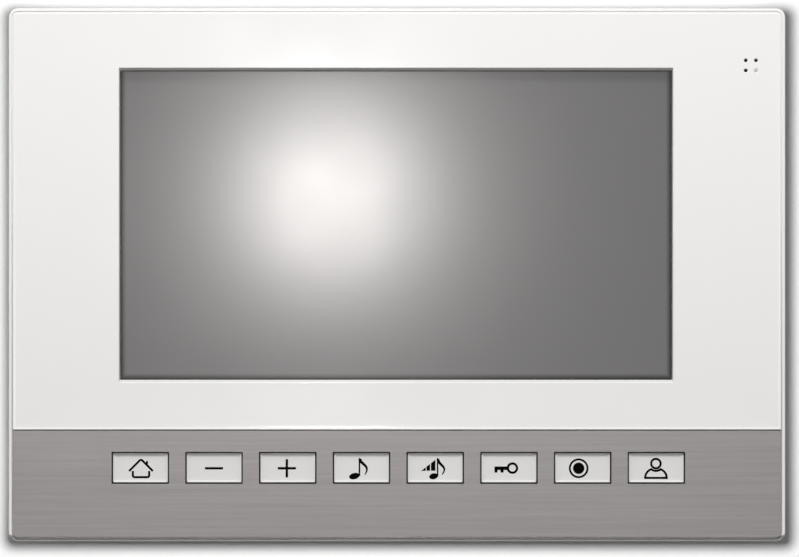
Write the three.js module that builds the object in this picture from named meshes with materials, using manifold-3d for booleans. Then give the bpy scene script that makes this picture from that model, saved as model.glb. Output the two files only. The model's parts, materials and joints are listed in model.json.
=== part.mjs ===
// A wall-hung video intercom monitor with a 7 inch display and eight push buttons, in millimetres.
// +Z is up, +X is to the right as the user sees it, and the display looks along -Y.
// The origin is the middle of the wall bracket's back face, which lies on the wall, at y = 0.
// Three assemblies make it up: the bracket that is screwed to the wall, the monitor that hangs on the
// bracket's four hooks, and the eight buttons that travel in the monitor.

import * as THREE from "three";
import { mergeVertices } from "three/addons/utils/BufferGeometryUtils.js";
import Module from "manifold-3d";

const wasm = await Module();
wasm.setup();

// ---- Driving dimensions ----

const BODY = { width: 218, height: 149.6, corner: 2.6 }; // outline of the housing, seen from the front
const FRONT = -24; // the fascia's face
const RIM = { width: 0.9, front: -23.8, gap: 0.35 }; // the frame's edge, and the groove inside it
const WALL = 2; // housing wall
const CLEAR = 0.3; // between parts that only lie beside each other
const FINE = 0.1; // between parts that carry each other
const PAST = 1; // how far a cutting tool runs past the face that it opens

const FASCIA = { thick: 2, bottom: -43.4 }; // white acrylic sheet above the strip
const STRIP = { front: -23.8, thick: 1, top: -43.55 }; // aluminium sheet below it
const GLUE = 0.2; // adhesive tape behind the fascia and the strip
const WINDOW = { x: -0.1, z: 14, width: 155.4, height: 86.9 }; // the cut-out in the fascia

const FRAME = { plateBack: -20, back: -12 }; // the front frame's cross plate, and its rear edge
const SEAM = 0.3; // shadow gap between the front frame and the rear cover
const NEST = { margin: 1, wallMargin: 3, rise: 3 }; // the frame's opening for the display module
const BOSS = {
  cover: { radius: 3.6, bore: 1.6, end: -9.3 },
  clamp: { radius: 3, bore: 1.2, end: -15.8 },
  keyBoard: { radius: 2.2, bore: 1, end: -13.8 },
};

const MODULE = { width: 165, height: 100, front: -21.5, back: -15.8, wall: 0.5 }; // display module
const GASKET = { inner: 2.4, outer: 7.4 }; // how much wider than the fascia's window, in all
const CELL = { width: 161, height: 95, front: -21.3, thick: 1.6 }; // its glass

const BUTTONS = ["home", "minus", "plus", "melody", "ring_volume", "unlock", "record", "talk"];
const BUTTON = {
  x: 0.4, z: -54.15, pitch: 20.7, width: 15.36, height: 8.2, corner: 0.3, front: -23.1, gap: 0.39,
};
const FLANGE = { over: 1, front: -19.9, thick: 1 }; // the lip that keeps a cap behind the plate
const STEM = { side: 3.2, end: -18.3 };
const SWITCH = { side: 6, front: -17.2, height: 3.5, bore: 1.9, depth: 1.9 };
const PLUNGER = { radius: 1.75, front: -18.2, length: 2.1 };
const KEY_BOARD = { width: 166, height: 20, thick: 1.6, postColumns: 3, postRise: 7.7 };

const HOLES = { x: 97.9, z: 60.2, pitch: 2.85, radius: 0.5 }; // three sound holes and the status light
const SOUND_CHAMBER = { x: 98.9, z: 59.6, radius: 2.2 }; // the hollow that the three holes share
const CAPSULE = { x: 98, z: 60.4, radius: 2, front: -19.2, back: -17.1, port: 0.8, boot: 0.8 };
const SENSOR_BOARD = {
  x: [93.6, 104.4], z: [53.5, 65.5], y: [-17, -16], pegs: [[95.5, 55.5], [102.8, 64]],
};

const MAIN_BOARD = { x: [-34, 66], z: [-42, 34], y: [-13.4, -11.8] };
const BOARD_SCREWS = [[-30, 30], [62, 30], [-30, -38], [62, -38]];
const TERMINAL = { pitch: 3.81, z: [-21.5, -13.5], y: [-11.7, -5] };
const TERMINALS = { door_station: [-21, 4], extension: [-4.2, 4], power: [12.6, 2] }; // left end, poles
const CHIP = { x: [10, 30], z: [0, 20], thick: 1.6 };
const DISPLAY_RIBBON = {
  x: [4, 34], thick: 0.3, path: [[-15.55, -24], [-15.5, -29], [-13.7, -35], [-13.65, -40]],
};
const KEY_RIBBON = {
  x: [28, 36], thick: 0.4, path: [[-11.7, -49], [-10.1, -47], [-10, -43], [-11.4, -40]],
};

const COVER = { back: -1, bendStart: -9, backWidth: 201.5, backHeight: 133.1, backCorner: 6 };
const LIP = { reach: 1.8, thick: 1.2 }; // the cover's lip inside the front frame
const COVER_SCREWS = [[-92, 44], [92, 44], [-92, -60], [92, -60]];
const CLAMP = { x: 88.5, z: 14, y: [-15.7, -14.7], reach: 12, height: 10 };
const SPEAKER = { x: -78, z: 12, radius: 18 };

const BRACKET = {
  width: 104, height: 84, thick: 1.2, corner: 4,
  slots: [[-30, 30], [30, 30], [-34, -36], [34, -36]], slotWidth: 8, slotHeight: 3.8,
  window: { z: -25, width: 44, height: 26, corner: 2 },
};
const HOOK = { x: 42, width: 8, rise: 5.8, bottoms: [22, -30] };
const LIFT = 7; // how far the monitor rises before it comes off the hooks
const RECESS = { floor: -4.6, side: 2, top: 1.5 }; // pocket for the bracket in the rear cover
const COOLING = { count: 17, pitch: 8, width: 2.4, rows: [[51, 61], [-63, -56]] }; // slots in the cover
const GRILLE = { count: 7, pitch: 4.2, width: 2 }; // slots over the speaker
const CABLE_WINDOW = { x: [-24, 24], z: [-40, -12] }; // way through the rear cover to the terminals

// ---- Materials ----

const finish = (color, roughness, metalness = 0) =>
  new THREE.MeshStandardMaterial({ color, roughness, metalness });
const glossWhite = finish(0xf0efed, 0.2);
const matteWhite = finish(0xe4e3e0, 0.6);
const acrylicWhite = finish(0xf2f1ee, 0.1);
const capWhite = finish(0xd8d7d5, 0.4);
const brushedAluminium = finish(0x96928f, 0.45, 0.9);
const screenGrey = finish(0x777674, 0.35);
const tinnedSteel = finish(0xb4b6b8, 0.35, 1);
const zincSteel = finish(0x9fa3a6, 0.4, 1);
const darkSteel = finish(0x3a3a3c, 0.45, 0.8);
const boardGreen = finish(0x1f5b3a, 0.45);
const blackPlastic = finish(0x161616, 0.55);
const terminalGreen = finish(0x2e8b57, 0.5);
const foamBlack = finish(0x202020, 0.95);
const rubberGrey = finish(0x3b3b3b, 0.9);
const ribbonWhite = finish(0xe8e8e4, 0.5);
const conePaper = finish(0x2a2a2c, 0.85);
const clearPipe = finish(0xe2e4e6, 0.2);
const guideWhite = finish(0xf4f4f4, 0.4);

// ---- Geometry helpers ----

// A closed three.js geometry as a solid that can be joined and cut.
function solid(geometry) {
  const bare = geometry.clone();
  bare.deleteAttribute("normal");
  bare.deleteAttribute("uv");
  const merged = mergeVertices(bare, 1e-4);
  return new wasm.Manifold(
    new wasm.Mesh({
      numProp: 3,
      vertProperties: new Float32Array(merged.attributes.position.array),
      triVerts: new Uint32Array(merged.index.array),
    }),
  );
}

// A solid as a mesh that the group can hold.
function part(name, made, material) {
  const { numProp, numVert, vertProperties, triVerts } = made.getMesh();
  const points = new Float32Array(numVert * 3);
  for (let i = 0; i < numVert; i++) {
    points.set(vertProperties.subarray(i * numProp, i * numProp + 3), i * 3);
  }
  const geometry = new THREE.BufferGeometry();
  geometry.setAttribute("position", new THREE.BufferAttribute(points, 3));
  geometry.setIndex(new THREE.BufferAttribute(triVerts, 1));
  geometry.computeVertexNormals();
  const mesh = new THREE.Mesh(geometry, material);
  mesh.name = name;
  return mesh;
}

// A box between two corners, given as its range on each axis.
function box([x0, x1], [y0, y1], [z0, z1]) {
  const geometry = new THREE.BoxGeometry(x1 - x0, y1 - y0, z1 - z0);
  return solid(geometry.translate((x0 + x1) / 2, (y0 + y1) / 2, (z0 + z1) / 2));
}

// The range of a length about its middle.
const about = (middle, length) => [middle - length / 2, middle + length / 2];

// A rectangle with round corners, as a shape in the plane of the front.
function roundedRectangle(width, height, radius) {
  const [right, top] = [width / 2, height / 2];
  const shape = new THREE.Shape();
  shape.absarc(right - radius, top - radius, radius, 0, Math.PI / 2);
  shape.absarc(radius - right, top - radius, radius, Math.PI / 2, Math.PI);
  shape.absarc(radius - right, radius - top, radius, Math.PI, 1.5 * Math.PI);
  shape.absarc(right - radius, radius - top, radius, 1.5 * Math.PI, 2 * Math.PI);
  return shape;
}

// A plate with round corners, from y0 to y1, about (x, z).
function plate(width, height, radius, [y0, y1], x = 0, z = 0, curveSegments = 5) {
  const shape = roundedRectangle(width, height, radius);
  const geometry = new THREE.ExtrudeGeometry(shape, { depth: y1 - y0, bevelEnabled: false, curveSegments });
  return solid(geometry.rotateX(Math.PI / 2).translate(x, y1, z));
}

// A round rod along Y.
function rod(radius, [y0, y1], x = 0, z = 0, sides = 12) {
  const geometry = new THREE.CylinderGeometry(radius, radius, y1 - y0, sides);
  return solid(geometry.translate(x, (y0 + y1) / 2, z));
}

// A shape turned about Y: the profile is a list of [radius, y] that starts and ends on the axis.
function turned(profile, x, z, sides = 24) {
  const points = profile.map(([radius, y]) => new THREE.Vector2(radius, y));
  return solid(new THREE.LatheGeometry(points, sides).translate(x, 0, z));
}

// A block whose outline changes along Y: each ring is { y, width, height, corner }.
function lofted(rings, curveSegments = 5) {
  const outlines = rings.map(({ width, height, corner }) => {
    const points = roundedRectangle(width, height, corner).getPoints(curveSegments);
    return points.filter((p, i) => i === 0 || p.distanceTo(points[i - 1]) > 1e-6);
  });
  const count = outlines[0].length - (outlines[0][0].distanceTo(outlines[0].at(-1)) < 1e-6 ? 1 : 0);
  const positions = rings.flatMap(({ y }, r) =>
    outlines[r].slice(0, count).flatMap((p) => [p.x, y, p.y]),
  );
  const cap = THREE.ShapeUtils.triangulateShape(outlines[0].slice(0, count), []);
  const last = (rings.length - 1) * count;
  const faces = cap.flatMap(([a, b, c]) => [a, c, b, last + a, last + b, last + c]);
  for (let r = 0; r + 1 < rings.length; r++) {
    for (let i = 0; i < count; i++) {
      const [a, b] = [r * count + i, r * count + ((i + 1) % count)];
      faces.push(a, b, a + count, b, b + count, a + count);
    }
  }
  const geometry = new THREE.BufferGeometry();
  geometry.setAttribute("position", new THREE.Float32BufferAttribute(positions, 3));
  geometry.setIndex(faces);
  return solid(geometry);
}

const join = (solids) => solids.reduce((a, b) => a.add(b));
const cut = (base, tools) => tools.reduce((a, b) => a.subtract(b), base);

// ---- Front frame, fascia and strip ----

const pocketWidth = BODY.width - 2 * RIM.width;
const pocketHeight = BODY.height - 2 * RIM.width;
const pocketCorner = BODY.corner - RIM.width;
const insideWidth = BODY.width - 2 * WALL;
const insideHeight = BODY.height - 2 * WALL;
const insideCorner = BODY.corner - WALL / 2;
const fasciaBack = FRONT + FASCIA.thick;
const upperPlate = fasciaBack + GLUE; // front of the cross plate behind the fascia
const lowerPlate = STRIP.front + STRIP.thick + GLUE; // and behind the strip
const stripSplit = (FASCIA.bottom + STRIP.top) / 2;
const buttonXs = BUTTONS.map((_, i) => BUTTON.x + (i - (BUTTONS.length - 1) / 2) * BUTTON.pitch);
const holeWidth = BUTTON.width + 2 * BUTTON.gap;
const holeHeight = BUTTON.height + 2 * BUTTON.gap;
const statusLight = { x: HOLES.x + HOLES.pitch, z: HOLES.z - HOLES.pitch };

// The eight openings for the button caps, as cutting tools through y.
const buttonHoles = (y) =>
  buttonXs.map((x) => plate(holeWidth, holeHeight, BUTTON.corner, y, x, BUTTON.z, 2));

// A hollow pillar that a self-tapping screw cuts its thread in.
function screwBoss({ radius, bore, end }, [x, z]) {
  const start = FRAME.plateBack - FINE; // inside the plate, so that the pillar joins it
  return rod(radius, [start, end], x, z).subtract(rod(bore, [start + WALL, end + PAST], x, z, 10));
}

const keyBoardPosts = [-1, 1].flatMap((side) =>
  [-1, 1].map((end) => [
    BUTTON.x + side * KEY_BOARD.postColumns * BUTTON.pitch,
    BUTTON.z + end * KEY_BOARD.postRise,
  ]),
);
const keyBoardBack = SWITCH.front + SWITCH.height + KEY_BOARD.thick;

// The moulded shell: a rim round two shallow pockets, the cross plate behind them, and its pillars.
function frontFrame() {
  const outside = plate(BODY.width, BODY.height, BODY.corner, [RIM.front, FRAME.back]);
  const pocket = (front) =>
    plate(pocketWidth, pocketHeight, pocketCorner, [RIM.front - PAST, front]);
  const above = box(about(0, BODY.width), [FRONT - PAST, 0], [stripSplit, BODY.height]);
  const below = box(about(0, BODY.width), [FRONT - PAST, 0], [-BODY.height, stripSplit]);
  const hollow = [FRAME.plateBack, FRAME.back + PAST];
  const inside = plate(insideWidth, insideHeight, insideCorner, hollow);
  const shell = cut(outside, [
    pocket(upperPlate).intersect(above),
    pocket(lowerPlate).intersect(below),
    inside,
  ]);
  const nest = (margin, y) =>
    plate(MODULE.width + margin, MODULE.height + margin, CLEAR, y, WINDOW.x, WINDOW.z, 2);
  const locatingWall = nest(NEST.wallMargin, [FRAME.plateBack - FINE, FRAME.plateBack + NEST.rise]);
  const pillars = [
    ...COVER_SCREWS.map((at) => screwBoss(BOSS.cover, at)),
    ...[-CLAMP.x, CLAMP.x].map((x) => screwBoss(BOSS.clamp, [x, CLAMP.z])),
    ...keyBoardPosts.map((at) => screwBoss(BOSS.keyBoard, at)),
    ...SENSOR_BOARD.pegs.map(([x, z]) =>
      rod(1.2, [FRAME.plateBack - FINE, SENSOR_BOARD.y[0] - FINE], x, z, 10)),
  ];
  const through = [RIM.front - PAST, FRAME.plateBack + NEST.rise + PAST];
  return cut(join([shell, locatingWall, ...pillars]), [
    nest(NEST.margin, through),
    ...buttonHoles([RIM.front - PAST, FRAME.plateBack + PAST]),
    rod(SOUND_CHAMBER.radius, [upperPlate - PAST, upperPlate + 0.8], SOUND_CHAMBER.x, SOUND_CHAMBER.z),
    rod(CAPSULE.port, through, CAPSULE.x, CAPSULE.z, 10),
    rod(0.65, through, statusLight.x, statusLight.z, 10),
  ]);
}

// The acrylic sheet: round corners at the top, square ones above the strip, and a bevelled window.
function fasciaPanel() {
  const edge = RIM.width + RIM.gap;
  const y = [FRONT, fasciaBack];
  const sheet = plate(BODY.width - 2 * edge, BODY.height - 2 * edge, pocketCorner - RIM.gap, y);
  const kept = sheet.intersect(box(about(0, BODY.width), about(FRONT, 9), [FASCIA.bottom, BODY.height]));
  const window = plate(
    WINDOW.width, WINDOW.height, 0.2, [FRONT - PAST, fasciaBack + PAST], WINDOW.x, WINDOW.z, 2,
  );
  const through = [FRONT - PAST, fasciaBack + PAST];
  const dots = [[0, 0], [1, 0], [0, -1], [1, -1]].map(([i, j]) =>
    rod(HOLES.radius, through, HOLES.x + i * HOLES.pitch, HOLES.z + j * HOLES.pitch),
  );
  return cut(kept, [window, ...dots]);
}

// The aluminium sheet, with its eight button openings.
function controlStrip() {
  const edge = RIM.width + RIM.gap;
  const y = [STRIP.front, STRIP.front + STRIP.thick];
  const sheet = plate(BODY.width - 2 * edge, BODY.height - 2 * edge, pocketCorner - RIM.gap, y);
  const kept = sheet.intersect(box(about(0, BODY.width), about(STRIP.front, 9), [-BODY.height, STRIP.top]));
  return cut(kept, buttonHoles([STRIP.front - PAST, STRIP.front + STRIP.thick + PAST]));
}

// ---- Buttons and their switches ----

// A cap: its visible block, the flange behind the plate, and the stem that meets the plunger.
function buttonCap(x) {
  const flangeBack = FLANGE.front + FLANGE.thick;
  const wide = 2 * (BUTTON.gap + FLANGE.over);
  return join([
    plate(BUTTON.width, BUTTON.height, BUTTON.corner, [BUTTON.front, flangeBack], x, BUTTON.z, 2),
    box(about(x, BUTTON.width + wide), [FLANGE.front, flangeBack], about(BUTTON.z, BUTTON.height + wide)),
    box(about(x, STEM.side), [flangeBack - FINE, STEM.end], about(BUTTON.z, STEM.side)),
  ]);
}

const switchPlunger = (x) =>
  rod(PLUNGER.radius, [PLUNGER.front, PLUNGER.front + PLUNGER.length], x, BUTTON.z);

function switchHousing(x) {
  const y = [SWITCH.front, SWITCH.front + SWITCH.height - FINE / 2];
  const body = box(about(x, SWITCH.side), y, about(BUTTON.z, SWITCH.side));
  return body.subtract(rod(SWITCH.bore, [y[0] - PAST, y[0] + SWITCH.depth], x, BUTTON.z));
}

function keyBoard() {
  const y = [keyBoardBack - KEY_BOARD.thick, keyBoardBack];
  const board = box(about(BUTTON.x, KEY_BOARD.width), y, about(BUTTON.z, KEY_BOARD.height));
  return cut(board, keyBoardPosts.map(([x, z]) => rod(1.3, about(keyBoardBack, 9), x, z)));
}

// ---- Display module ----

// A block centred on the display window.
const block = (width, height, y) => box(about(WINDOW.x, width), y, about(WINDOW.z, height));

// Foam between the fascia and the display, which keeps dust off the glass.
function displayGasket() {
  const around = (margin, y) =>
    plate(WINDOW.width + margin, WINDOW.height + margin, 0.5, y, WINDOW.x, WINDOW.z, 2);
  const y = [fasciaBack + FINE / 2, MODULE.front - FINE / 2];
  return around(GASKET.outer, y).subtract(around(GASKET.inner, [y[0] - PAST, y[1] + PAST]));
}

// The stamped steel frame of the module: a shallow tray with a window in its front.
function displayBezel() {
  const { width, height, front, back, wall } = MODULE;
  return cut(plate(width, height, 0.8, [front, back], WINDOW.x, WINDOW.z, 2), [
    block(width - 2 * wall, height - 2 * wall, [CELL.front - FINE, back + PAST]),
    block(WINDOW.width + 2, WINDOW.height + 2, [front - PAST, back]),
  ]);
}

const displayCell = () => block(CELL.width, CELL.height, [CELL.front, CELL.front + CELL.thick]);

// The light guide and its tray, behind the glass.
function displayBacklight() {
  const { width, height, back, wall } = MODULE;
  return block(width - 2 * wall - 1, height - 2 * wall - 1, [CELL.front + CELL.thick + FINE, back]);
}

// A sheet steel clamp that holds one side of the module against the fascia.
function displayClamp(side) {
  const { x, y, z, reach, height } = CLAMP;
  const tongue = box(about(side * (x - reach / 4), 1.5 * reach), y, about(z, height));
  return tongue.subtract(rod(1.8, about(y[0], 9), side * x, z));
}

// A flat cable: a strip between two places on X, whose side follows a path of [y, z] points.
function flatCable({ x: [x0, x1], thick, path: stops }) {
  const path = new THREE.SplineCurve(stops.map(([y, z]) => new THREE.Vector2(y, z))).getPoints(9);
  const sides = path.map((p, i) => {
    const along = path[Math.min(i + 1, path.length - 1)].clone().sub(path[Math.max(i - 1, 0)]).normalize();
    return [p, new THREE.Vector2(-along.y, along.x).multiplyScalar(thick / 2)];
  });
  const outline = [
    ...sides.map(([p, off]) => p.clone().add(off)),
    ...sides.reverse().map(([p, off]) => p.clone().sub(off)),
  ];
  const settings = { depth: x1 - x0, bevelEnabled: false };
  const strip = new THREE.ExtrudeGeometry(new THREE.Shape(outline), settings);
  const [alongX, alongY, alongZ] = [[1, 0, 0], [0, 1, 0], [0, 0, 1]].map((v) => new THREE.Vector3(...v));
  const upright = new THREE.Matrix4().makeBasis(alongY, alongZ, alongX).setPosition(x0, 0, 0);
  return solid(strip.applyMatrix4(upright));
}

// ---- Boards, terminals, microphone, speaker ----

function mainBoard() {
  const { x, y, z } = MAIN_BOARD;
  return cut(box(x, y, z), BOARD_SCREWS.map(([sx, sz]) => rod(1.8, about(y[0], 9), sx, sz)));
}

const chipFront = MAIN_BOARD.y[1] + FINE;
const processorChip = () => box(CHIP.x, [chipFront, chipFront + CHIP.thick], CHIP.z);

// A screw terminal block: wires enter from below, and the screws face the wall.
function terminalBlock([left, poles]) {
  const { pitch, y, z } = TERMINAL;
  const block = box([left, left + poles * pitch + 0.5], y, z);
  const middles = Array.from({ length: poles }, (_, i) => left + 0.25 + (i + 0.5) * pitch);
  return cut(block, middles.flatMap((x) => [
    box(about(x, 2.4), [-9.6, -7.2], [z[0] - PAST, z[1] - 2]),
    rod(1.5, [y[1] - 0.9, y[1] + PAST], x, (z[0] + z[1]) / 2 + 1, 10),
  ]));
}

const sensorBoard = () => box(SENSOR_BOARD.x, SENSOR_BOARD.y, SENSOR_BOARD.z);

// The rubber boot that seals the microphone against the plate.
function microphoneBoot() {
  const { x, z, radius, front, back, port, boot } = CAPSULE;
  return cut(rod(radius + boot, [FRAME.plateBack + FINE, back], x, z), [
    rod(radius + FINE, [front - FINE, back + PAST], x, z),
    rod(port, [FRAME.plateBack - PAST, back], x, z, 10),
  ]);
}

const microphoneCapsule = () => rod(CAPSULE.radius, [CAPSULE.front, CAPSULE.back], CAPSULE.x, CAPSULE.z);

// The clear pin that carries the status light to the face.
const statusLightPipe = () => join([
  rod(HOLES.radius - 0.05, [FRONT + 0.05, FRAME.plateBack + 2 * FINE], statusLight.x, statusLight.z, 12),
  rod(1.1, [FRAME.plateBack + FINE, -18], statusLight.x, statusLight.z, 12),
]);

const coverInside = COVER.back - WALL; // inner face of the rear cover's back wall
const speakerFront = coverInside - 0.2;

// The speaker's pressed basket: a cup with a wide rim that faces the grille.
function speakerBasket() {
  const { x, z, radius } = SPEAKER;
  const [rim, shelf, base] = [speakerFront, speakerFront - 1, speakerFront - 4];
  return turned([
    [0, base - 0.6], [11, base - 0.6], [16, shelf - 0.4], [radius, shelf - 0.4], [radius, rim],
    [radius - 1, rim], [radius - 1, shelf + 0.2], [15.6, shelf + 0.2], [10.6, base], [0, base],
  ], x, z, 20);
}

// The paper cone with its roll edge and dust cap.
function speakerCone() {
  const { x, z, radius } = SPEAKER;
  const [rim, base] = [speakerFront - 0.6, speakerFront - 3.6];
  return turned([
    [0, base + 0.1], [5, base + 0.1], [9.5, base + 0.6], [14.6, rim - 0.1], [radius - 1.3, rim],
    [radius - 1.3, rim + 0.2], [16, rim + 0.5], [14.4, rim + 0.4], [9, base + 1.1], [5, base + 0.9],
    [3, base + 1.9], [0, base + 2.3],
  ], x, z, 20);
}

const speakerMagnet = () => {
  const front = speakerFront - 4.7;
  const profile = [[0, front - 4], [8.6, front - 4], [9, front - 3.6], [9, front], [0, front]];
  return turned(profile, SPEAKER.x, SPEAKER.z);
};

// ---- Rear cover and bracket ----

const recess = {
  x: about(0, BRACKET.width + 2 * RECESS.side),
  z: [-BRACKET.height / 2 - LIFT - 1, BRACKET.height / 2 + RECESS.top],
};
const grow = ([low, high], by) => [low - by, high + by];

// The slot over one hook. Its top edge hangs on the hook, and it is tall enough to lift off.
function hookSlot(x, bottom) {
  const top = bottom + BRACKET.thick + 2 * FINE;
  return box(about(x, HOOK.width + 2), [-9, 0], [top - LIFT - 2, top]);
}

// The rows of cooling slots above and below the bracket, as cutting tools.
function coolingSlots() {
  const { count, pitch, width, rows } = COOLING;
  const xs = Array.from({ length: count }, (_, i) => (i - (count - 1) / 2) * pitch);
  const y = [coverInside - PAST, PAST];
  return xs.flatMap((x) => rows.map((z) => box(about(x, width), y, z)));
}

// The speaker's grille: seven slots that fill a circle.
function speakerGrille() {
  const { count, pitch, width } = GRILLE;
  const reach = SPEAKER.radius - 3;
  const rows = Array.from({ length: count }, (_, i) => (i - (count - 1) / 2) * pitch);
  return rows.map((dz) => box(
    about(SPEAKER.x, 2 * Math.sqrt(reach * reach - dz * dz)),
    [coverInside - PAST, PAST],
    about(SPEAKER.z + dz, width),
  ));
}

function rearCover() {
  const front = FRAME.back + SEAM;
  const { width, height, corner } = BODY;
  const { back, bendStart, backWidth, backHeight, backCorner } = COVER;
  const outside = lofted([
    { y: back, width: backWidth, height: backHeight, corner: backCorner },
    { y: back - 1, width: backWidth + 2.5, height: backHeight + 2.5, corner: backCorner },
    { y: bendStart, width, height, corner },
    { y: front, width, height, corner },
  ]);
  const inside = lofted([
    { y: coverInside, width: backWidth - 1, height: backHeight - 1, corner: backCorner - WALL },
    { y: bendStart + 0.8, width: insideWidth, height: insideHeight, corner: insideCorner },
    { y: front - PAST, width: insideWidth, height: insideHeight, corner: insideCorner },
  ]);
  const lipWidth = insideWidth - 2 * CLEAR; // the lip that slides inside the front frame
  const lipHeight = insideHeight - 2 * CLEAR;
  const lip = cut(join([
    plate(lipWidth, lipHeight, 1.5, [front - LIP.reach, front + 2]),
    plate(lipWidth + 1, lipHeight + 1, 1.5, [front + 1, front + 2]),
  ]), [
    plate(lipWidth - 2 * LIP.thick, lipHeight - 2 * LIP.thick, 1, [front - 3, front + 4]),
  ]);
  const recessWall = box(grow(recess.x, WALL), [RECESS.floor - WALL, back - 0.5], grow(recess.z, WALL));
  const ring = (radius, y) => rod(radius, y, SPEAKER.x, SPEAKER.z, 20);
  const speakerWall = ring(SPEAKER.radius + 1.6, [coverInside - 3, coverInside + FINE]).subtract(
    ring(SPEAKER.radius + 0.4, [coverInside - 4, coverInside + PAST]),
  );
  const standoffs = BOARD_SCREWS.map(([x, z]) =>
    rod(3, [MAIN_BOARD.y[1] + FINE, coverInside + FINE], x, z).subtract(recessPocket()),
  );
  const posts = COVER_SCREWS.map(([x, z]) => rod(4.6, [-9, coverInside + FINE], x, z));
  const hollow = outside.subtract(inside);
  return cut(join([hollow, lip, recessWall, speakerWall, ...standoffs, ...posts]), [
    recessPocket(),
    ...HOOK.bottoms.flatMap((bottom) => [-HOOK.x, HOOK.x].map((x) => hookSlot(x, bottom))),
    box(CABLE_WINDOW.x, [-9, 0], CABLE_WINDOW.z),
    ...COVER_SCREWS.flatMap(([x, z]) => [rod(3.4, [-6, PAST], x, z), rod(1.8, [-12, 0], x, z)]),
    ...BOARD_SCREWS.map(([x, z]) => rod(1.4, [MAIN_BOARD.y[1] - PAST, RECESS.floor - WALL], x, z)),
    ...coolingSlots(),
    ...speakerGrille(),
  ]);
}

const recessPocket = () => box(recess.x, [RECESS.floor, PAST], recess.z);

// One hook: a leg that stands out of the plate and a tip that turns up behind the cover's wall.
function bracketHook(x, bottom) {
  const tipBack = RECESS.floor - WALL - 4 * FINE;
  const tipFront = tipBack - BRACKET.thick;
  const top = bottom + BRACKET.thick;
  return join([
    box(about(x, HOOK.width), [tipFront, -BRACKET.thick / 2], [bottom, top]),
    box(about(x, HOOK.width), [tipFront, tipBack], [bottom, top + HOOK.rise]),
  ]);
}

// The pressed steel plate on the wall. Each hook is bent out of it and leaves its blank open above.
function wallBracket() {
  const through = about(0, 6);
  const blank = HOOK.rise - RECESS.floor + WALL + 1;
  const { width, height, thick, corner, slots, slotWidth, slotHeight, window } = BRACKET;
  const sheet = cut(plate(width, height, corner, [-thick, 0]), [
    plate(window.width, window.height, window.corner, through, 0, window.z, 2),
    ...slots.map(([x, z]) => plate(slotWidth, slotHeight, slotHeight / 2.01, through, x, z, 4)),
    ...HOOK.bottoms.flatMap((bottom) => [-HOOK.x, HOOK.x].map((x) =>
      box(about(x, HOOK.width + 0.8), through, [bottom + BRACKET.thick, bottom + BRACKET.thick + blank]),
    )),
  ]);
  const hooks = HOOK.bottoms.flatMap((bottom) => [-HOOK.x, HOOK.x].map((x) => bracketHook(x, bottom)));
  return join([sheet, ...hooks]);
}

// ---- Screws ----

// A cross recess screw along Y. headward is +1 where the head is at the wall's side of the shank.
function crossScrew([x, z], under, headward, { head, shank, tall, length }) {
  const at = (d) => under + headward * d;
  const sorted = (a, b) => [Math.min(a, b), Math.max(a, b)];
  const crown = rod(head, sorted(at(0), at(tall)), x, z);
  const bolt = rod(shank, sorted(at(-length), at(FINE)), x, z, 8);
  const recessY = sorted(at(tall * 0.4), at(tall + PAST));
  return cut(crown.add(bolt), [
    box(about(x, head * 1.1), recessY, about(z, head * 0.26)),
    box(about(x, head * 0.26), recessY, about(z, head * 1.1)),
  ]);
}

const COVER_SCREW = { head: 2.9, shank: 1.45, tall: 2.2, length: 10 };
const BOARD_SCREW = { head: 2.6, shank: 1.2, tall: 1.6, length: 5.4 };
const CLAMP_SCREW = { head: 2.6, shank: 1.05, tall: 1.6, length: 3.2 };

// ---- Assembly ----

const bracket = new THREE.Group();
bracket.add(part("wall_bracket", wallBracket(), zincSteel));

const monitor = new THREE.Group();
monitor.add(
  part("front_frame", frontFrame(), glossWhite),
  part("fascia_panel", fasciaPanel(), acrylicWhite),
  part("control_strip", controlStrip(), brushedAluminium),
  part("display_gasket", displayGasket(), foamBlack),
  part("display_bezel", displayBezel(), tinnedSteel),
  part("display_cell", displayCell(), screenGrey),
  part("display_backlight", displayBacklight(), guideWhite),
  part("display_clamp_left", displayClamp(-1), zincSteel),
  part("display_clamp_right", displayClamp(1), zincSteel),
  part("display_ribbon", flatCable(DISPLAY_RIBBON), ribbonWhite),
  part("key_board", keyBoard(), boardGreen),
  part("key_ribbon", flatCable(KEY_RIBBON), ribbonWhite),
  part("main_board", mainBoard(), boardGreen),
  part("processor_chip", processorChip(), blackPlastic),
  part("sensor_board", sensorBoard(), boardGreen),
  part("microphone_boot", microphoneBoot(), rubberGrey),
  part("microphone_capsule", microphoneCapsule(), tinnedSteel),
  part("status_light_pipe", statusLightPipe(), clearPipe),
  part("speaker_basket", speakerBasket(), darkSteel),
  part("speaker_cone", speakerCone(), conePaper),
  part("speaker_magnet", speakerMagnet(), darkSteel),
  part("rear_cover", rearCover(), matteWhite),
);
for (const [name, place] of Object.entries(TERMINALS)) {
  monitor.add(part(`${name}_terminal`, terminalBlock(place), terminalGreen));
}
COVER_SCREWS.forEach((at, i) =>
  monitor.add(part(`cover_screw_${i + 1}`, crossScrew(at, -5.9, 1, COVER_SCREW), zincSteel)),
);
BOARD_SCREWS.forEach((at, i) => {
  const screw = crossScrew(at, MAIN_BOARD.y[0] - FINE, -1, BOARD_SCREW);
  monitor.add(part(`board_screw_${i + 1}`, screw, zincSteel));
});
["left", "right"].forEach((name, i) => {
  const at = [(2 * i - 1) * CLAMP.x, CLAMP.z];
  monitor.add(part(`clamp_screw_${name}`, crossScrew(at, CLAMP.y[1] + FINE, 1, CLAMP_SCREW), zincSteel));
});

const buttons = new THREE.Group();
BUTTONS.forEach((name, i) => {
  buttons.add(
    part(`cap_${name}`, buttonCap(buttonXs[i]), capWhite),
    part(`plunger_${name}`, switchPlunger(buttonXs[i]), blackPlastic),
  );
  monitor.add(part(`switch_${name}`, switchHousing(buttonXs[i]), blackPlastic));
});
monitor.add(buttons);

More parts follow.
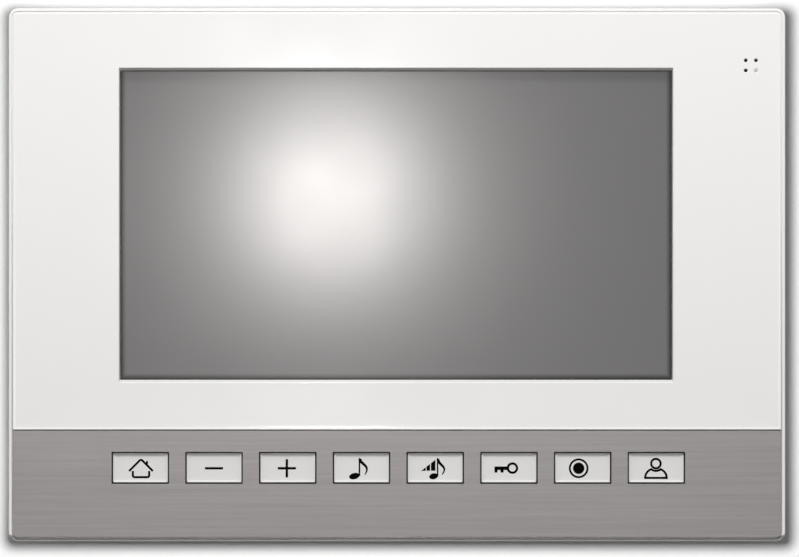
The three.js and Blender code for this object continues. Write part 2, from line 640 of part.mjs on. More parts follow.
const intercom = new THREE.Group();
intercom.add(bracket, monitor);
export default intercom;
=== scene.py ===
# %% [markdown]
# # A wall-hung video intercom monitor
# The monitor is a flat white housing with a 7 inch display, a strip of brushed aluminium with eight
# icon buttons, and a steel bracket behind it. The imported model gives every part's place and size, and
# this lesson makes the surfaces that the eye sees. Each cell makes one piece or one finish.

# %% The tools and the frame
import json
import math

import bmesh
import bpy
import numpy as np
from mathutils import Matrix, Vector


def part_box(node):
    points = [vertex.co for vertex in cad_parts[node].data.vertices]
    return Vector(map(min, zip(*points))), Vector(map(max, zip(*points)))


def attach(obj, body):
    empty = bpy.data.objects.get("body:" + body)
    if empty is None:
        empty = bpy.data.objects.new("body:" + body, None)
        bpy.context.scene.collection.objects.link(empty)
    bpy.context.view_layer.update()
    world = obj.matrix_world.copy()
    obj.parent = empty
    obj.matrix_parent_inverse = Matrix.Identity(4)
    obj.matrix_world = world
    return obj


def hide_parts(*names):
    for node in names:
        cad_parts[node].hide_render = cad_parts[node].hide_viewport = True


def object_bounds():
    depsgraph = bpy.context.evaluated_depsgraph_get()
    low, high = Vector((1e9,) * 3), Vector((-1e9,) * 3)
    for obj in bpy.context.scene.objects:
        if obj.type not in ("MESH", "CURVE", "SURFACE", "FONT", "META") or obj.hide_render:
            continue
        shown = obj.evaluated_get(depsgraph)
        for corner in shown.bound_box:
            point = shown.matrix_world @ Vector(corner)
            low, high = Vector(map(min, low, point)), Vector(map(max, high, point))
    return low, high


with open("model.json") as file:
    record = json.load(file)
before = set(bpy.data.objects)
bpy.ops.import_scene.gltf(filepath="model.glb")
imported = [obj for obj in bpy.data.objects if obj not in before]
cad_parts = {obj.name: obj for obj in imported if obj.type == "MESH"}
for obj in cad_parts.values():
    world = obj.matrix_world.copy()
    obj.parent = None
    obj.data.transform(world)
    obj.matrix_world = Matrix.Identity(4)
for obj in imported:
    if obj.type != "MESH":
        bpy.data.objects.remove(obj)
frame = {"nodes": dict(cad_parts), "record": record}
cad_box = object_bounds()
MM = 0.001
print("the frame's size in mm:", [round(s / MM, 1) for s in cad_box[1] - cad_box[0]])

# %% [markdown]
# The camera comes first. It stands straight in front, as in a catalogue picture, with a long lens, so
# that the housing's sides stay hidden behind its front. Its distance follows from the width that the
# picture takes in at the front plane: distance = width x lens / sensor.

# %% The camera
FRONT = cad_box[0].y
PICTURE_WIDTH = 224.2 * MM
PICTURE_MIDDLE = (0.72 * MM, -0.98 * MM)
LENS, SENSOR = 150.0, 36.0


def new_object(name, data):
    """An object of the scene, at the origin."""
    made = bpy.data.objects.new(name, data)
    bpy.context.scene.collection.objects.link(made)
    return made


def make_camera(x, z):
    """A camera that looks along +Y, at the distance where the picture is PICTURE_WIDTH wide."""
    data = bpy.data.cameras.new("camera")
    data.lens, data.sensor_width = LENS, SENSOR
    camera = new_object("camera", data)
    camera.location = (x, FRONT - PICTURE_WIDTH * LENS / SENSOR, z)
    camera.rotation_euler = (math.pi / 2, 0, 0)
    bpy.context.scene.camera = camera
    return camera


camera = make_camera(*PICTURE_MIDDLE)
print("the camera is", round(-camera.location.y, 3), "m from the wall")

# %% [markdown]
# ## Shapes from rectangles
# Nearly every part here is a rectangle with round corners that changes a little with depth: a plate, a
# cap, a cover. Boxes with a bevel modifier would do, but the corner arcs and the edge radii are then
# hard to set apart. Here an outline is a loop of points, a profile says how far the outline has moved
# in at each depth, and the loops of all depths make a grid of points that is joined up as quads.

# %% Outlines, profiles and grids
THIN = 0.02 * MM  # the smallest corner radius, so that no two points of a loop fall together


def outline(width, height, radii, centre=(0, 0), arc=8):
    """Points round a rectangle with its corners as arcs, as (points, 2) of x and z. Each corner is its
    own centre plus its radius times (cos, sin) of an angle that runs through a quarter turn."""
    radii = np.maximum(np.broadcast_to(np.asarray(radii, float), 4), THIN)
    signs = np.array([[1, 1], [-1, 1], [-1, -1], [1, -1]])
    corners = signs * (np.array([width, height]) / 2 - radii[:, None])
    angle = np.radians(90 * np.arange(4)[:, None] + np.linspace(0, 90, arc + 1))
    arcs = corners[:, None] + radii[:, None, None] * np.stack([np.cos(angle), np.sin(angle)], -1)
    return arcs.reshape(-1, 2) + centre


def at_depth(points, y):
    """Points of x and z, set at a depth y."""
    return np.insert(points, 1, y, axis=1)


def carried(width, height, radii, profile, centre=(0, 0), arc=8):
    """The profile's rows of (inset, y) carried round a rectangle: at each row the rectangle, and its
    corner radii, are smaller by the inset. Gives a grid of points, (rows, points round, 3)."""
    radii = np.broadcast_to(np.asarray(radii, float), 4)
    loops = [
        at_depth(outline(width - 2 * inset, height - 2 * inset, radii - inset, centre, arc), y)
        for inset, y in profile
    ]
    return np.array(loops)


def eased(points, radius, steps=4):
    """An open profile with its inner corners eased. A corner c becomes the curve
    (1-t)^2 a + 2t(1-t) c + t^2 b, where a and b lie one radius before and after it. A row just outside
    each end of the curve keeps the flat beside it looking flat."""
    p = np.asarray(points, float)
    corner = p[1:-1]
    reach = np.broadcast_to(np.asarray(radius, float), len(corner))[:, None]
    before, after = p[:-2] - corner, p[2:] - corner
    before = before / np.linalg.norm(before, axis=1, keepdims=True) * reach
    after = after / np.linalg.norm(after, axis=1, keepdims=True) * reach
    t = np.linspace(0, 1, steps + 1)[:, None, None]
    curve = corner + (1 - t) ** 2 * before + t**2 * after
    curve = np.concatenate([(corner + 1.25 * before)[None], curve, (corner + 1.25 * after)[None]])
    return np.vstack([p[:1], curve.transpose(1, 0, 2).reshape(-1, 2), p[-1:]])


def turned(profile, x, z, around=40):
    """A profile of (radius, y) turned about the line through (x, z) along Y: a point is the centre plus
    radius times (cos, sin) of the angle. Gives a grid, (rows, points round, 3)."""
    profile = np.asarray(profile, float)
    angle = np.linspace(0, 2 * np.pi, around, endpoint=False)
    radius = np.maximum(profile[:, :1], THIN)
    y = np.broadcast_to(profile[:, 1:], (len(profile), around))
    return np.stack([x + radius * np.cos(angle), y, z + radius * np.sin(angle)], -1)


def sideways(path):
    """Unit vectors square to a flat path: its direction at each point, turned by a quarter."""
    along = np.gradient(path, axis=0)
    along /= np.linalg.norm(along, axis=1, keepdims=True)
    return np.stack([-along[:, 1], along[:, 0]], -1)


def grid_faces(rows, around, is_ring):
    """Quads between the neighbouring rows of a grid. The first and last rows are joined to each other
    in a ring, and otherwise each is closed by one face."""
    index = np.arange(rows * around).reshape(rows, around)
    lower = index if is_ring else index[:-1]
    upper = np.roll(index, -1, axis=0) if is_ring else index[1:]
    quads = np.stack([lower, np.roll(lower, -1, axis=1), np.roll(upper, -1, axis=1), upper], -1)
    faces = quads.reshape(-1, 4).tolist()
    return faces if is_ring else faces + [index[0, ::-1].tolist(), index[-1].tolist()]


# %% [markdown]
# A grid says nothing about which side is out. The signed volume of a closed mesh does: it is the sum
# over the faces of a pyramid from the origin, and it is negative where the faces point inwards. One
# helper puts grids into an object, turns what is inside out, and marks the edges that stay sharp.

# %% From grids to an object
SHARP = math.radians(32)


def shade(mesh):
    """Smooth shading, with every edge that turns by more than SHARP kept crisp."""
    mesh.polygons.foreach_set("use_smooth", np.ones(len(mesh.polygons), bool))
    mesh.set_sharp_from_angle(angle=SHARP)


def solid(name, *grids, rings=()):
    """One object from grids with closed ends and from rings, whose last row meets the first. Each is
    checked by its signed volume and faces outwards."""
    built = bmesh.new()
    for grid, is_ring in [(grid, False) for grid in grids] + [(grid, True) for grid in rings]:
        part = bpy.data.meshes.new("part")
        rows, around = grid.shape[:2]
        part.from_pydata(grid.reshape(-1, 3).tolist(), [], grid_faces(rows, around, is_ring))
        single = bmesh.new()
        single.from_mesh(part)
        if single.calc_volume(signed=True) < 0:
            bmesh.ops.reverse_faces(single, faces=single.faces)
        single.to_mesh(part)
        built.from_mesh(part)
        single.free()
        bpy.data.meshes.remove(part)
    mesh = bpy.data.meshes.new(name)
    built.to_mesh(mesh)
    built.free()
    shade(mesh)
    return new_object(name, mesh)


def with_modifier(target, kind, **settings):
    """The target with one modifier applied to its mesh."""
    modifier = target.modifiers.new(kind.lower(), kind)
    for key, value in settings.items():
        setattr(modifier, key, value)
    bpy.context.view_layer.update()
    evaluated = target.evaluated_get(bpy.context.evaluated_depsgraph_get())
    mesh = bpy.data.meshes.new_from_object(evaluated)
    target.modifiers.clear()
    target.data = mesh
    shade(mesh)
    return target


def combine(target, operation, *grids):
    """Joins grids to the target, or takes them away from it, with an exact boolean."""
    tool = solid("tool", *grids)
    with_modifier(target, "BOOLEAN", object=tool, operation=operation, solver="EXACT")
    bpy.data.objects.remove(tool)
    return target


def cut(target, *tools):
    """Takes the tools' grids away from the target."""
    return combine(target, "DIFFERENCE", *tools)


def place(made, body, material, slot, *nodes):
    """Gives a piece its body, its finish and the parts that it stands for, and prints its faces."""
    made.data.materials.clear()
    made.data.materials.append(material)
    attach(made, body)
    if nodes:
        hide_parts(*nodes)
    print(made.name, "rides on", body, "and has", len(made.data.polygons), "faces")
    return made


# %% [markdown]
# ## Finishes
# A real surface is never one flat value. Four effects turn up in several finishes, so each is a node
# group with its own inputs: `mottle` for slow changes of tone, `grain` for moulded or cast texture,
# `brushing` for the lines that an abrasive belt leaves, and `dust` for what settles on upward faces.
# They all read Object coordinates, in metres, so a scale is a number of bumps per metre.

# %% Node helpers


def add(tree, kind, inputs=None, **settings):
    """A new node. Its inputs are numbers, colours or other nodes' outputs."""
    made = tree.nodes.new(kind)
    for key, value in settings.items():
        setattr(made, key, value)
    for key, value in (inputs or {}).items():
        if isinstance(value, bpy.types.NodeSocket):
            tree.links.new(value, made.inputs[key])
        else:
            made.inputs[key].default_value = value
    return made


def calc(tree, operation, a, b=0.0, clamp=False):
    """One Math node's output."""
    return add(tree, "ShaderNodeMath", {0: a, 1: b}, operation=operation, use_clamp=clamp).outputs[0]


def spread(tree, value, low, high, start=0.0, end=1.0, **settings):
    """A value that runs from start to end, carried to the range from low to high."""
    inputs = {0: value, 1: start, 2: end, 3: low, 4: high}
    return add(tree, "ShaderNodeMapRange", inputs, **settings).outputs[0]


def scaled(tree, colour, factor):
    """A colour times a value."""
    return add(tree, "ShaderNodeVectorMath", {0: colour, "Scale": factor}, operation="SCALE").outputs[0]


def new_group(name, inputs, outputs):
    """An empty node group with named float inputs and outputs, and its two end nodes."""
    tree = bpy.data.node_groups.new(name, "ShaderNodeTree")
    for label, value in inputs.items():
        socket = tree.interface.new_socket(name=label, in_out="INPUT", socket_type="NodeSocketFloat")
        socket.default_value = value
    for label in outputs:
        tree.interface.new_socket(name=label, in_out="OUTPUT", socket_type="NodeSocketFloat")
    return tree, tree.nodes.new("NodeGroupInput").outputs, tree.nodes.new("NodeGroupOutput").inputs


def noise(tree, scale, detail=2.0, stretch=None):
    """A noise texture on Object coordinates. stretch squeezes the pattern along an axis."""
    where = add(tree, "ShaderNodeTexCoord").outputs["Object"]
    if stretch:
        where = add(tree, "ShaderNodeMapping", {"Vector": where, "Scale": stretch}).outputs[0]
    return add(tree, "ShaderNodeTexNoise", {"Vector": where, "Scale": scale, "Detail": detail}).outputs[0]


# %% [markdown]
# `mottle` adds a slow noise and a finer one. A moulding's tone drifts by a percent or two over some
# centimetres as the melt cools, and hands leave patches a little duller than the rest.

# %% Mottle


def make_mottle():
    """Tone = 0.7 slow noise + 0.3 finer noise, spread about 1 by Amount; Smudge is the finer noise."""
    tree, given, out = new_group("mottle", {"Scale": 20.0, "Amount": 0.03}, ["Tone", "Smudge"])
    slow = noise(tree, given["Scale"], 3.0)
    fine = noise(tree, calc(tree, "MULTIPLY", given["Scale"], 7.0), 4.0)
    mixed = calc(tree, "ADD", calc(tree, "MULTIPLY", slow, 0.7), calc(tree, "MULTIPLY", fine, 0.3))
    about_zero = calc(tree, "MULTIPLY", calc(tree, "SUBTRACT", mixed, 0.5), given["Amount"])
    tree.links.new(calc(tree, "ADD", about_zero, 1.0), out["Tone"])
    tree.links.new(fine, out["Smudge"])
    return tree


mottle = make_mottle()
print("made the group", mottle.name)

# %% [markdown]
# `grain` is the fine texture that a spark-eroded mould leaves in plastic. Two noises that are not
# multiples of each other keep it from repeating in a way that the eye picks up.

# %% Grain


def make_grain():
    """Height = the mean of noise at Scale and noise at 2.7 times Scale."""
    tree, given, out = new_group("grain", {"Scale": 2500.0}, ["Height"])
    coarse = noise(tree, given["Scale"], 1.0)
    fine = noise(tree, calc(tree, "MULTIPLY", given["Scale"], 2.7), 1.0)
    tree.links.new(calc(tree, "MULTIPLY", calc(tree, "ADD", coarse, fine), 0.5), out["Height"])
    return tree


grain = make_grain()
print("made the group", grain.name)

# %% [markdown]
# `brushing` is noise squeezed hard along X, so that each bump becomes a line. Broad bands, long faint
# lines and short sharp ones lie on each other, as a belt with worn and fresh grit leaves them.

# %% Brushing


def make_brushing():
    """Lines = 0.5 broad bands + 0.3 long lines + 0.2 short lines; all are noise squeezed along X."""
    tree, given, out = new_group("brushing", {"Scale": 3000.0}, ["Lines"])
    total = 0.0
    for share, finer, squeeze in ((0.5, 0.3, 0.02), (0.3, 1.0, 0.012), (0.2, 2.3, 0.05)):
        lines = noise(tree, calc(tree, "MULTIPLY", given["Scale"], finer), 2.0, (squeeze, 1.0, 1.0))
        total = calc(tree, "ADD", total, calc(tree, "MULTIPLY", lines, share))
    tree.links.new(total, out["Lines"])
    return tree


brushing = make_brushing()
print("made the group", brushing.name)

# %% [markdown]
# `dust` lies where a face looks up. The mask is the upward part of the normal, times a patchy noise.

# %% Dust
PATCHES = 260.0  # patches of dust per metre


def make_dust():
    """Mask = Amount x upward part of the normal squared x patchy noise."""
    tree, given, out = new_group("dust", {"Amount": 0.2}, ["Mask"])
    normal = add(tree, "ShaderNodeNewGeometry").outputs["Normal"]
    up = add(tree, "ShaderNodeSeparateXYZ", {0: normal}).outputs["Z"]
    facing = calc(tree, "POWER", calc(tree, "MAXIMUM", up, 0.0), 2.0)
    patches = spread(tree, noise(tree, PATCHES, 5.0), 0.0, 1.0, 0.35, 0.7)
    mask = calc(tree, "MULTIPLY", calc(tree, "MULTIPLY", facing, patches), given["Amount"])
    tree.links.new(mask, out["Mask"])
    return tree


dust = make_dust()
print("made the group", dust.name)

# %% [markdown]
# A finish puts the groups round one Principled shader. The tone and the dust go to Base Color, the
# smudges and lines to Roughness, and the grain or the lines to a Bump. What is the same all over, such
# as a clear coat or the anisotropy of brushed metal, is set on the shader's own sockets.

# %% One maker for all finishes
DUST_COLOUR = (0.52, 0.49, 0.45, 1)
LINE_TONES = (0.73, 1.27)  # how dark and how light brushed lines make the colour


def put(tree, group_tree, **inputs):
    """A node that uses one of the groups."""
    made = add(tree, "ShaderNodeGroup", node_tree=group_tree)
    for key, value in inputs.items():
        made.inputs[key].default_value = value
    return made.outputs


def finish(
    name, colour, roughness, metallic=0.0, tone=(20.0, 0.03), rough_spread=0.06,
    grains=None, lines=None, bump=0.1, deep=0.00002, dusty=0.1, **constants
):
    """A material: colour times tone, under dust; roughness moved by smudges or by brushed lines; and a
    bump from grains or lines, given as their number per metre."""
    made = bpy.data.materials.new(name)
    made.use_nodes = True
    tree = made.node_tree
    shader = tree.nodes["Principled BSDF"]
    for key, value in {"Metallic": metallic, **constants}.items():
        shader.inputs[key.replace("_", " ")].default_value = value
    patch = put(tree, mottle, Scale=tone[0], Amount=tone[1])
    tinted = scaled(tree, colour, patch["Tone"])
    settled = put(tree, dust, Amount=dusty)["Mask"]
    layers = {0: settled, 6: tinted, 7: DUST_COLOUR}
    shown = add(tree, "ShaderNodeMix", layers, data_type="RGBA").outputs[2]
    uneven = patch["Smudge"]
    if lines:
        uneven = relief = put(tree, brushing, Scale=lines)["Lines"]
        shown = scaled(tree, shown, spread(tree, relief, *LINE_TONES))
    elif grains:
        relief = put(tree, grain, Scale=grains)["Height"]
    if lines or grains:
        raised = add(tree, "ShaderNodeBump", {"Height": relief, "Strength": bump, "Distance": deep})
        tree.links.new(raised.outputs[0], shader.inputs["Normal"])
    tree.links.new(shown, shader.inputs["Base Color"])
    smooth = spread(tree, uneven, roughness - rough_spread, roughness + rough_spread)
    cleaned = calc(tree, "ADD", smooth, calc(tree, "MULTIPLY", settled, 0.5), clamp=True)
    tree.links.new(cleaned, shader.inputs["Roughness"])
    return made


# %% [markdown]
# The housing has three whites. The fascia is polished acrylic: a clear gloss over a warm white, and
# greyer on the bevel, partly where it shows the clear sheet in section and partly as painted shade on
# the bevel's faces. The frame's rim is moulded gloss ABS. The rear cover is the same plastic from a
# grained mould, so that it hides scratches. The button caps are a slightly greyer satin plastic that
# takes the printing.

# %% The whites
acrylic = finish(
    "white acrylic", (0.882, 0.87, 0.862), 0.13, tone=(9.0, 0.02), rough_spread=0.05, dusty=0.06,
    Coat_Weight=0.25, Coat_Roughness=0.05,
)
# a darker copy of the acrylic: partly the clear sheet's section, partly painted shade on the bevel
bevel_grey_and_shade = finish(
    "acrylic bevel", (0.60, 0.595, 0.585), 0.1, tone=(9.0, 0.02), rough_spread=0.03, dusty=0.0,
    Coat_Weight=0.25, Coat_Roughness=0.05,
)
gloss_white = finish(
    "gloss white plastic", (0.84, 0.835, 0.82), 0.22, tone=(25.0, 0.03),
    grains=900.0, bump=0.04, dusty=0.06,
)
grained_white = finish(
    "grained white plastic", (0.74, 0.735, 0.72), 0.55, tone=(14.0, 0.05),
    grains=2200.0, bump=0.35, deep=0.00004, dusty=0.07,
)
satin_grey = finish(
    "satin button plastic", (0.74, 0.733, 0.723), 0.42, tone=(60.0, 0.04),
    grains=5200.0, bump=0.12, dusty=0.1,
)
printed_black = finish(
    "black printing", (0.002, 0.002, 0.002), 0.6, tone=(400.0, 0.2),
    grains=9000.0, bump=0.1, dusty=0.0, Specular_IOR_Level=0.02,
)
print("five plastics and one ink")

# %% [markdown]
# The strip is aluminium sheet, brushed along its length and clear anodised. The brushing spreads its
# highlights across the lines, which is what anisotropy does. Steel parts behind are zinc plated: a
# bluish grey with a cloudy surface.

# %% The metals
brushed = finish(
    "brushed aluminium", (0.366, 0.348, 0.345), 0.42, metallic=0.7, tone=(6.0, 0.03), rough_spread=0.1,
    lines=3400.0, bump=0.25, dusty=0.02, Anisotropic=0.6,
)
zinc = finish(
    "zinc plated steel", (0.55, 0.57, 0.59), 0.38, metallic=1.0, tone=(160.0, 0.3), rough_spread=0.14,
    grains=1500.0, bump=0.12, dusty=0.15,
)
tin = finish(
    "tinned steel", (0.66, 0.67, 0.68), 0.28, metallic=1.0, tone=(90.0, 0.15), rough_spread=0.08,
    lines=2200.0, bump=0.08,
)
black_steel = finish(
    "black steel", (0.03, 0.03, 0.032), 0.4, metallic=0.6, tone=(120.0, 0.3),
    grains=2500.0, bump=0.15,
)
print("four metals")

# %% [markdown]
# The display's front film is etched so that it doesn't mirror the room. Its roughness is low but not
# nil, and a lamp near the eye shows on it as a wide soft glow. The film's grey is painted light: a dark
# colour that also glows faintly and evenly by itself, standing in for light the film would reflect and
# thinning the real shadow of the window's edge. Round the picture lies a black mask.

# %% Screen, foam, boards and other inner finishes
# painted light: the film's even glow (Emission) stands in for reflected light; no backlight shines
screen_film = finish(
    "anti-glare film", (0.052, 0.051, 0.0508), 0.185, tone=(12.0, 0.02), rough_spread=0.01,
    grains=9000.0, bump=0.02, deep=0.000005, dusty=0.0, Emission_Strength=2.0,
)
black_mask = finish("black mask", (0.01, 0.01, 0.01), 0.35, dusty=0.0)
foam = finish("black foam", (0.015, 0.015, 0.015), 0.9, grains=1800.0, bump=0.6)
rubber = finish("grey rubber", (0.05, 0.05, 0.05), 0.75, grains=3000.0, bump=0.2)
black_plastic = finish("black plastic", (0.012, 0.012, 0.013), 0.45, grains=3000.0)
board = finish(
    "green board", (0.02, 0.13, 0.05), 0.3, tone=(350.0, 0.5), rough_spread=0.1,
    grains=700.0, bump=0.15,
)
green_nylon = finish(
    "green nylon", (0.03, 0.24, 0.11), 0.45, tone=(120.0, 0.1), grains=3000.0,
)
cone_paper = finish("cone paper", (0.03, 0.03, 0.033), 0.85, grains=1200.0, bump=0.5)
ribbon = finish("ribbon film", (0.78, 0.78, 0.76), 0.35, grains=600.0, bump=0.05)
guide = finish("light guide", (0.85, 0.85, 0.85), 0.3, grains=1500.0, bump=0.05)
clear_pipe = finish(
    "clear pipe", (0.86, 0.87, 0.86), 0.18, tone=(300.0, 0.03), rough_spread=0.03, dusty=0.0,
    Transmission_Weight=0.35, IOR=1.49,
)

BY_SLOT = {
    "gloss_white_frame": gloss_white, "white_acrylic": acrylic, "brushed_aluminium": brushed,
    "button_white": satin_grey, "matte_white_cover": grained_white, "display_glass": screen_film,
    "white_guide": guide, "tinned_steel": tin, "zinc_steel": zinc, "black_steel": black_steel,
    "black_paper": cone_paper, "green_board": board, "green_plastic": green_nylon,
    "black_plastic": black_plastic, "black_foam": foam, "grey_rubber": rubber,
    "clear_plastic": clear_pipe, "white_ribbon": ribbon,
}
for row in frame["record"]["subparts"]:
    for held in frame["nodes"][row["node"]].material_slots:
        held.material = BY_SLOT[row["material_slot"]]
print(len(BY_SLOT), "finishes on", len(frame["nodes"]), "parts")

# %% [markdown]
# ## The front
# The frame is one moulding: an outer wall, a thin rim that stands round the fascia, and a cross plate
# behind it. The wall and rim are one closed profile carried round the outline. The profile starts and
# ends on the cross plate, so its last row is joined to its first. A low step inside the rim is the
# floor of the groove round the fascia. Along the bottom the rim is thinner and set back behind the
# metal strip, so that a hand that wipes or presses there meets only metal: there each row of the rim
# is moved back by as much as its place in front of the wall asks for, and its inner side is moved out.
# The groove's floor falls from the top of the housing to the bottom, where the thin metal strip lies.

# %% Measures of the front
frame_low, frame_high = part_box("front_frame")
BODY_WIDTH, BODY_HEIGHT = frame_high.x - frame_low.x, frame_high.z - frame_low.z
BODY_CORNER = 2.6 * MM
RIM = 0.9 * MM
GROOVE = 0.35 * MM
INNER_CORNER = BODY_CORNER - RIM - GROOVE  # the fascia's top corners and the strip's bottom corners
PLATE_FRONT, PLATE_BACK = -21.8 * MM, -20.0 * MM
FRAME_BACK = -12.0 * MM
WALL = 2.0 * MM  # the side wall's thickness
GROOVE_FLOOR = -23.65 * MM
GROOVE_FALL = 1.5 * MM  # how much deeper the groove is at the bottom
GROOVE_PLAY = 0.03 * MM  # between the groove's step and the fascia's edge
SET_BACK, WALL_FRONT = 1.0 * MM, -20.0 * MM  # the bottom rim's set-back, and where it has faded out
SLIMMER = 0.55  # how much of the bottom rim's width goes to the groove
FLANGE = 8.0 * MM  # how much of the cross plate belongs to the rim's profile


def seen_from_front(low, high):
    """The width, height and middle of a box."""
    return high.x - low.x, high.z - low.z, ((low.x + high.x) / 2, (low.z + high.z) / 2)


def make_front_frame():
    """The frame's wall and rim: a closed profile carried round the outline. With h the height above the
    bottom, the rim's set-back is y += SET_BACK for h < RIM, fading to 0 at h = 2 RIM and from the rim's
    front to the wall's; its inner side goes down by SLIMMER times its distance from the outside; and
    the groove's floor is at y += GROOVE_FALL (1 - h / H) cubed."""
    rim_front = frame_low.y
    step = RIM + GROOVE - GROOVE_PLAY
    profile = eased(
        [
            (FLANGE, PLATE_FRONT), (step, PLATE_FRONT), (step, GROOVE_FLOOR), (RIM, GROOVE_FLOOR),
            (RIM, rim_front), (0, rim_front), (0, FRAME_BACK),
            (WALL, FRAME_BACK), (WALL, PLATE_BACK), (FLANGE, PLATE_BACK),
        ],
        np.array([0.1, 0.05, 0.08, 0.14, 0.34, 0.3, 0.2, 0.4]) * MM,
        steps=5,
    )
    rows = carried(BODY_WIDTH, BODY_HEIGHT, BODY_CORNER, profile, arc=12)
    height = rows[..., 2] + BODY_HEIGHT / 2
    on_rim = profile[:, 0] < RIM + THIN
    share = np.clip((WALL_FRONT - rows[..., 1]) / (WALL_FRONT - rim_front), 0, 1) * on_rim[:, None]
    low = np.clip(2 - height / RIM, 0, 1)
    rows[..., 1] += SET_BACK * low * share
    rows[..., 2] -= SLIMMER * low * (profile[:, 0] * on_rim)[:, None] * (rows[..., 1] < WALL_FRONT)
    in_groove = (profile[:, 0] > RIM - THIN) & (np.abs(profile[:, 1] - GROOVE_FLOOR) < 0.1 * MM)
    rows[in_groove, :, 1] += GROOVE_FALL * (1 - height[in_groove] / BODY_HEIGHT) ** 3
    return solid("front_frame", rings=[rows])


place(make_front_frame(), "monitor", gloss_white, "gloss_white_frame", "front_frame")

# %% [markdown]
# The cross plate has rectangular openings for the display and the buttons. Such a sheet is a grid of
# lines laid at the openings' edges: the cells that fall in an opening are left out, and Solidify gives
# the rest its thickness.

# %% The cross plate
BUTTONS = ["home", "minus", "plus", "melody", "ring_volume", "unlock", "record", "talk"]
cap_boxes = {name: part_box(f"cap_{name}") for name in BUTTONS}
button_x = {name: (low.x + high.x) / 2 for name, (low, high) in cap_boxes.items()}
BUTTON_Z = (cap_boxes["home"][0].z + cap_boxes["home"][1].z) / 2
CAP_WIDTH, CAP_HEIGHT = 15.36 * MM, 8.2 * MM
CAP_GAP = 0.39 * MM
NEST = 0.5 * MM  # the room round the display's bezel
module_low, module_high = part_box("display_bezel")


def button_openings(gap):
    """A rectangular opening round each cap, wider than the cap by the gap on every side."""
    half_w, half_h = CAP_WIDTH / 2 + gap, CAP_HEIGHT / 2 + gap
    return [(x - half_w, x + half_w, BUTTON_Z - half_h, BUTTON_Z + half_h) for x in button_x.values()]


def pierced_sheet(name, x_range, z_range, openings, front, thick):
    """A sheet whose openings are (x0, x1, z0, z1). The lines of all their edges make a grid of cells,
    and a cell is kept where its middle lies in no opening."""
    holes = np.array(openings)
    xs = np.unique(np.concatenate([x_range, holes[:, 0], holes[:, 1]]))
    zs = np.unique(np.concatenate([z_range, holes[:, 2], holes[:, 3]]))
    mid_x, mid_z = np.meshgrid((xs[1:] + xs[:-1]) / 2, (zs[1:] + zs[:-1]) / 2, indexing="ij")
    inside = (
        (mid_x[..., None] > holes[:, 0]) & (mid_x[..., None] < holes[:, 1])
        & (mid_z[..., None] > holes[:, 2]) & (mid_z[..., None] < holes[:, 3])
    ).any(-1)
    index = np.arange(len(xs) * len(zs)).reshape(len(xs), len(zs))
    quads = np.stack([index[:-1, :-1], index[1:, :-1], index[1:, 1:], index[:-1, 1:]], -1)[~inside]
    used, faces = np.unique(quads, return_inverse=True)
    grid_x, grid_z = np.meshgrid(xs, zs, indexing="ij")
    points = np.stack([grid_x.ravel(), np.full(grid_x.size, front), grid_z.ravel()], -1)[used]
    mesh = bpy.data.meshes.new(name)
    mesh.from_pydata(points.tolist(), [], faces.reshape(-1, 4).tolist())
    return with_modifier(new_object(name, mesh), "SOLIDIFY", thickness=thick, offset=-1.0)


def make_cross_plate():
    """The frame's cross plate, inside the rim's profile."""
    nest = (module_low.x - NEST, module_high.x + NEST, module_low.z - NEST, module_high.z + NEST)
    openings = [nest, *button_openings(CAP_GAP)]
    reach_x, reach_z = BODY_WIDTH / 2 - FLANGE, BODY_HEIGHT / 2 - FLANGE
    thick = PLATE_BACK - PLATE_FRONT
    x_range, z_range = (-reach_x, reach_x), (-reach_z, reach_z)
    return pierced_sheet("cross_plate", x_range, z_range, openings, PLATE_FRONT, thick)


place(make_cross_plate(), "monitor", gloss_white, "gloss_white_frame")

# %% [markdown]
# The fascia is laser-cut acrylic, 2 mm thick, with a polished bevel round the display. It is a ring:
# one profile runs round the outside and another round the window, and because both loops have the
# same number of points, the flats between them are rows of quads too. The sound holes are cut last,
# with tools that flare at the surface, as a countersink does.

# %% The fascia
fascia_low, fascia_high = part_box("fascia_panel")
WINDOW_WIDTH, WINDOW_HEIGHT = 155.1 * MM, 86.9 * MM
WINDOW_CENTRE = (-0.25 * MM, 14.0 * MM)
WINDOW_CORNER = 0.25 * MM
BEVEL_SIDE, BEVEL_TALL, BEVEL_DEEP = 0.27 * MM, 0.73 * MM, 0.7 * MM
BEAD, BEAD_WIDE = 0.11 * MM, 0.9 * MM
EDGE_BACK = 2.5 * MM  # the width of the flat at the back, beside the fascia's edges
SEAM_CORNER = 0.15 * MM  # the corners where the fascia and the strip meet
HOLE_X, HOLE_Z, HOLE_PITCH, HOLE_RADIUS = 97.9 * MM, 60.2 * MM, 2.85 * MM, 0.5 * MM
PAST = 0.5 * MM  # how far a tool runs past the sheet


def flared(radius, front, back, x, z, flare=0.12 * MM):
    """A round cutting tool from in front of a face to behind the sheet, wider by `flare` at the face."""
    rows = [(radius + flare + PAST, front - PAST), (radius + flare, front), (radius, front + flare)]
    return turned(rows + [(radius, back + PAST)], x, z, around=28)


def bevelled_window(front, back):
    """Loops from the fascia's face, over the bevel, through the window to its back. Each loop is the
    window's outline, wider on every side by its share of the bevel, which is broader above and below."""
    loops = []
    for share, depth in eased([(1.6, 0), (1, 0), (0, 1), (0, 3)], 0.12):
        y = front + min(depth * BEVEL_DEEP, back - front)
        wide, tall = WINDOW_WIDTH + 2 * share * BEVEL_SIDE, WINDOW_HEIGHT + 2 * share * BEVEL_TALL
        loops.append(at_depth(outline(wide, tall, WINDOW_CORNER, WINDOW_CENTRE), y))
    wide, tall = WINDOW_WIDTH + 2 * EDGE_BACK, WINDOW_HEIGHT + 2 * EDGE_BACK
    loops.append(at_depth(outline(wide, tall, 1 * MM, WINDOW_CENTRE), back))
    return np.array(loops)


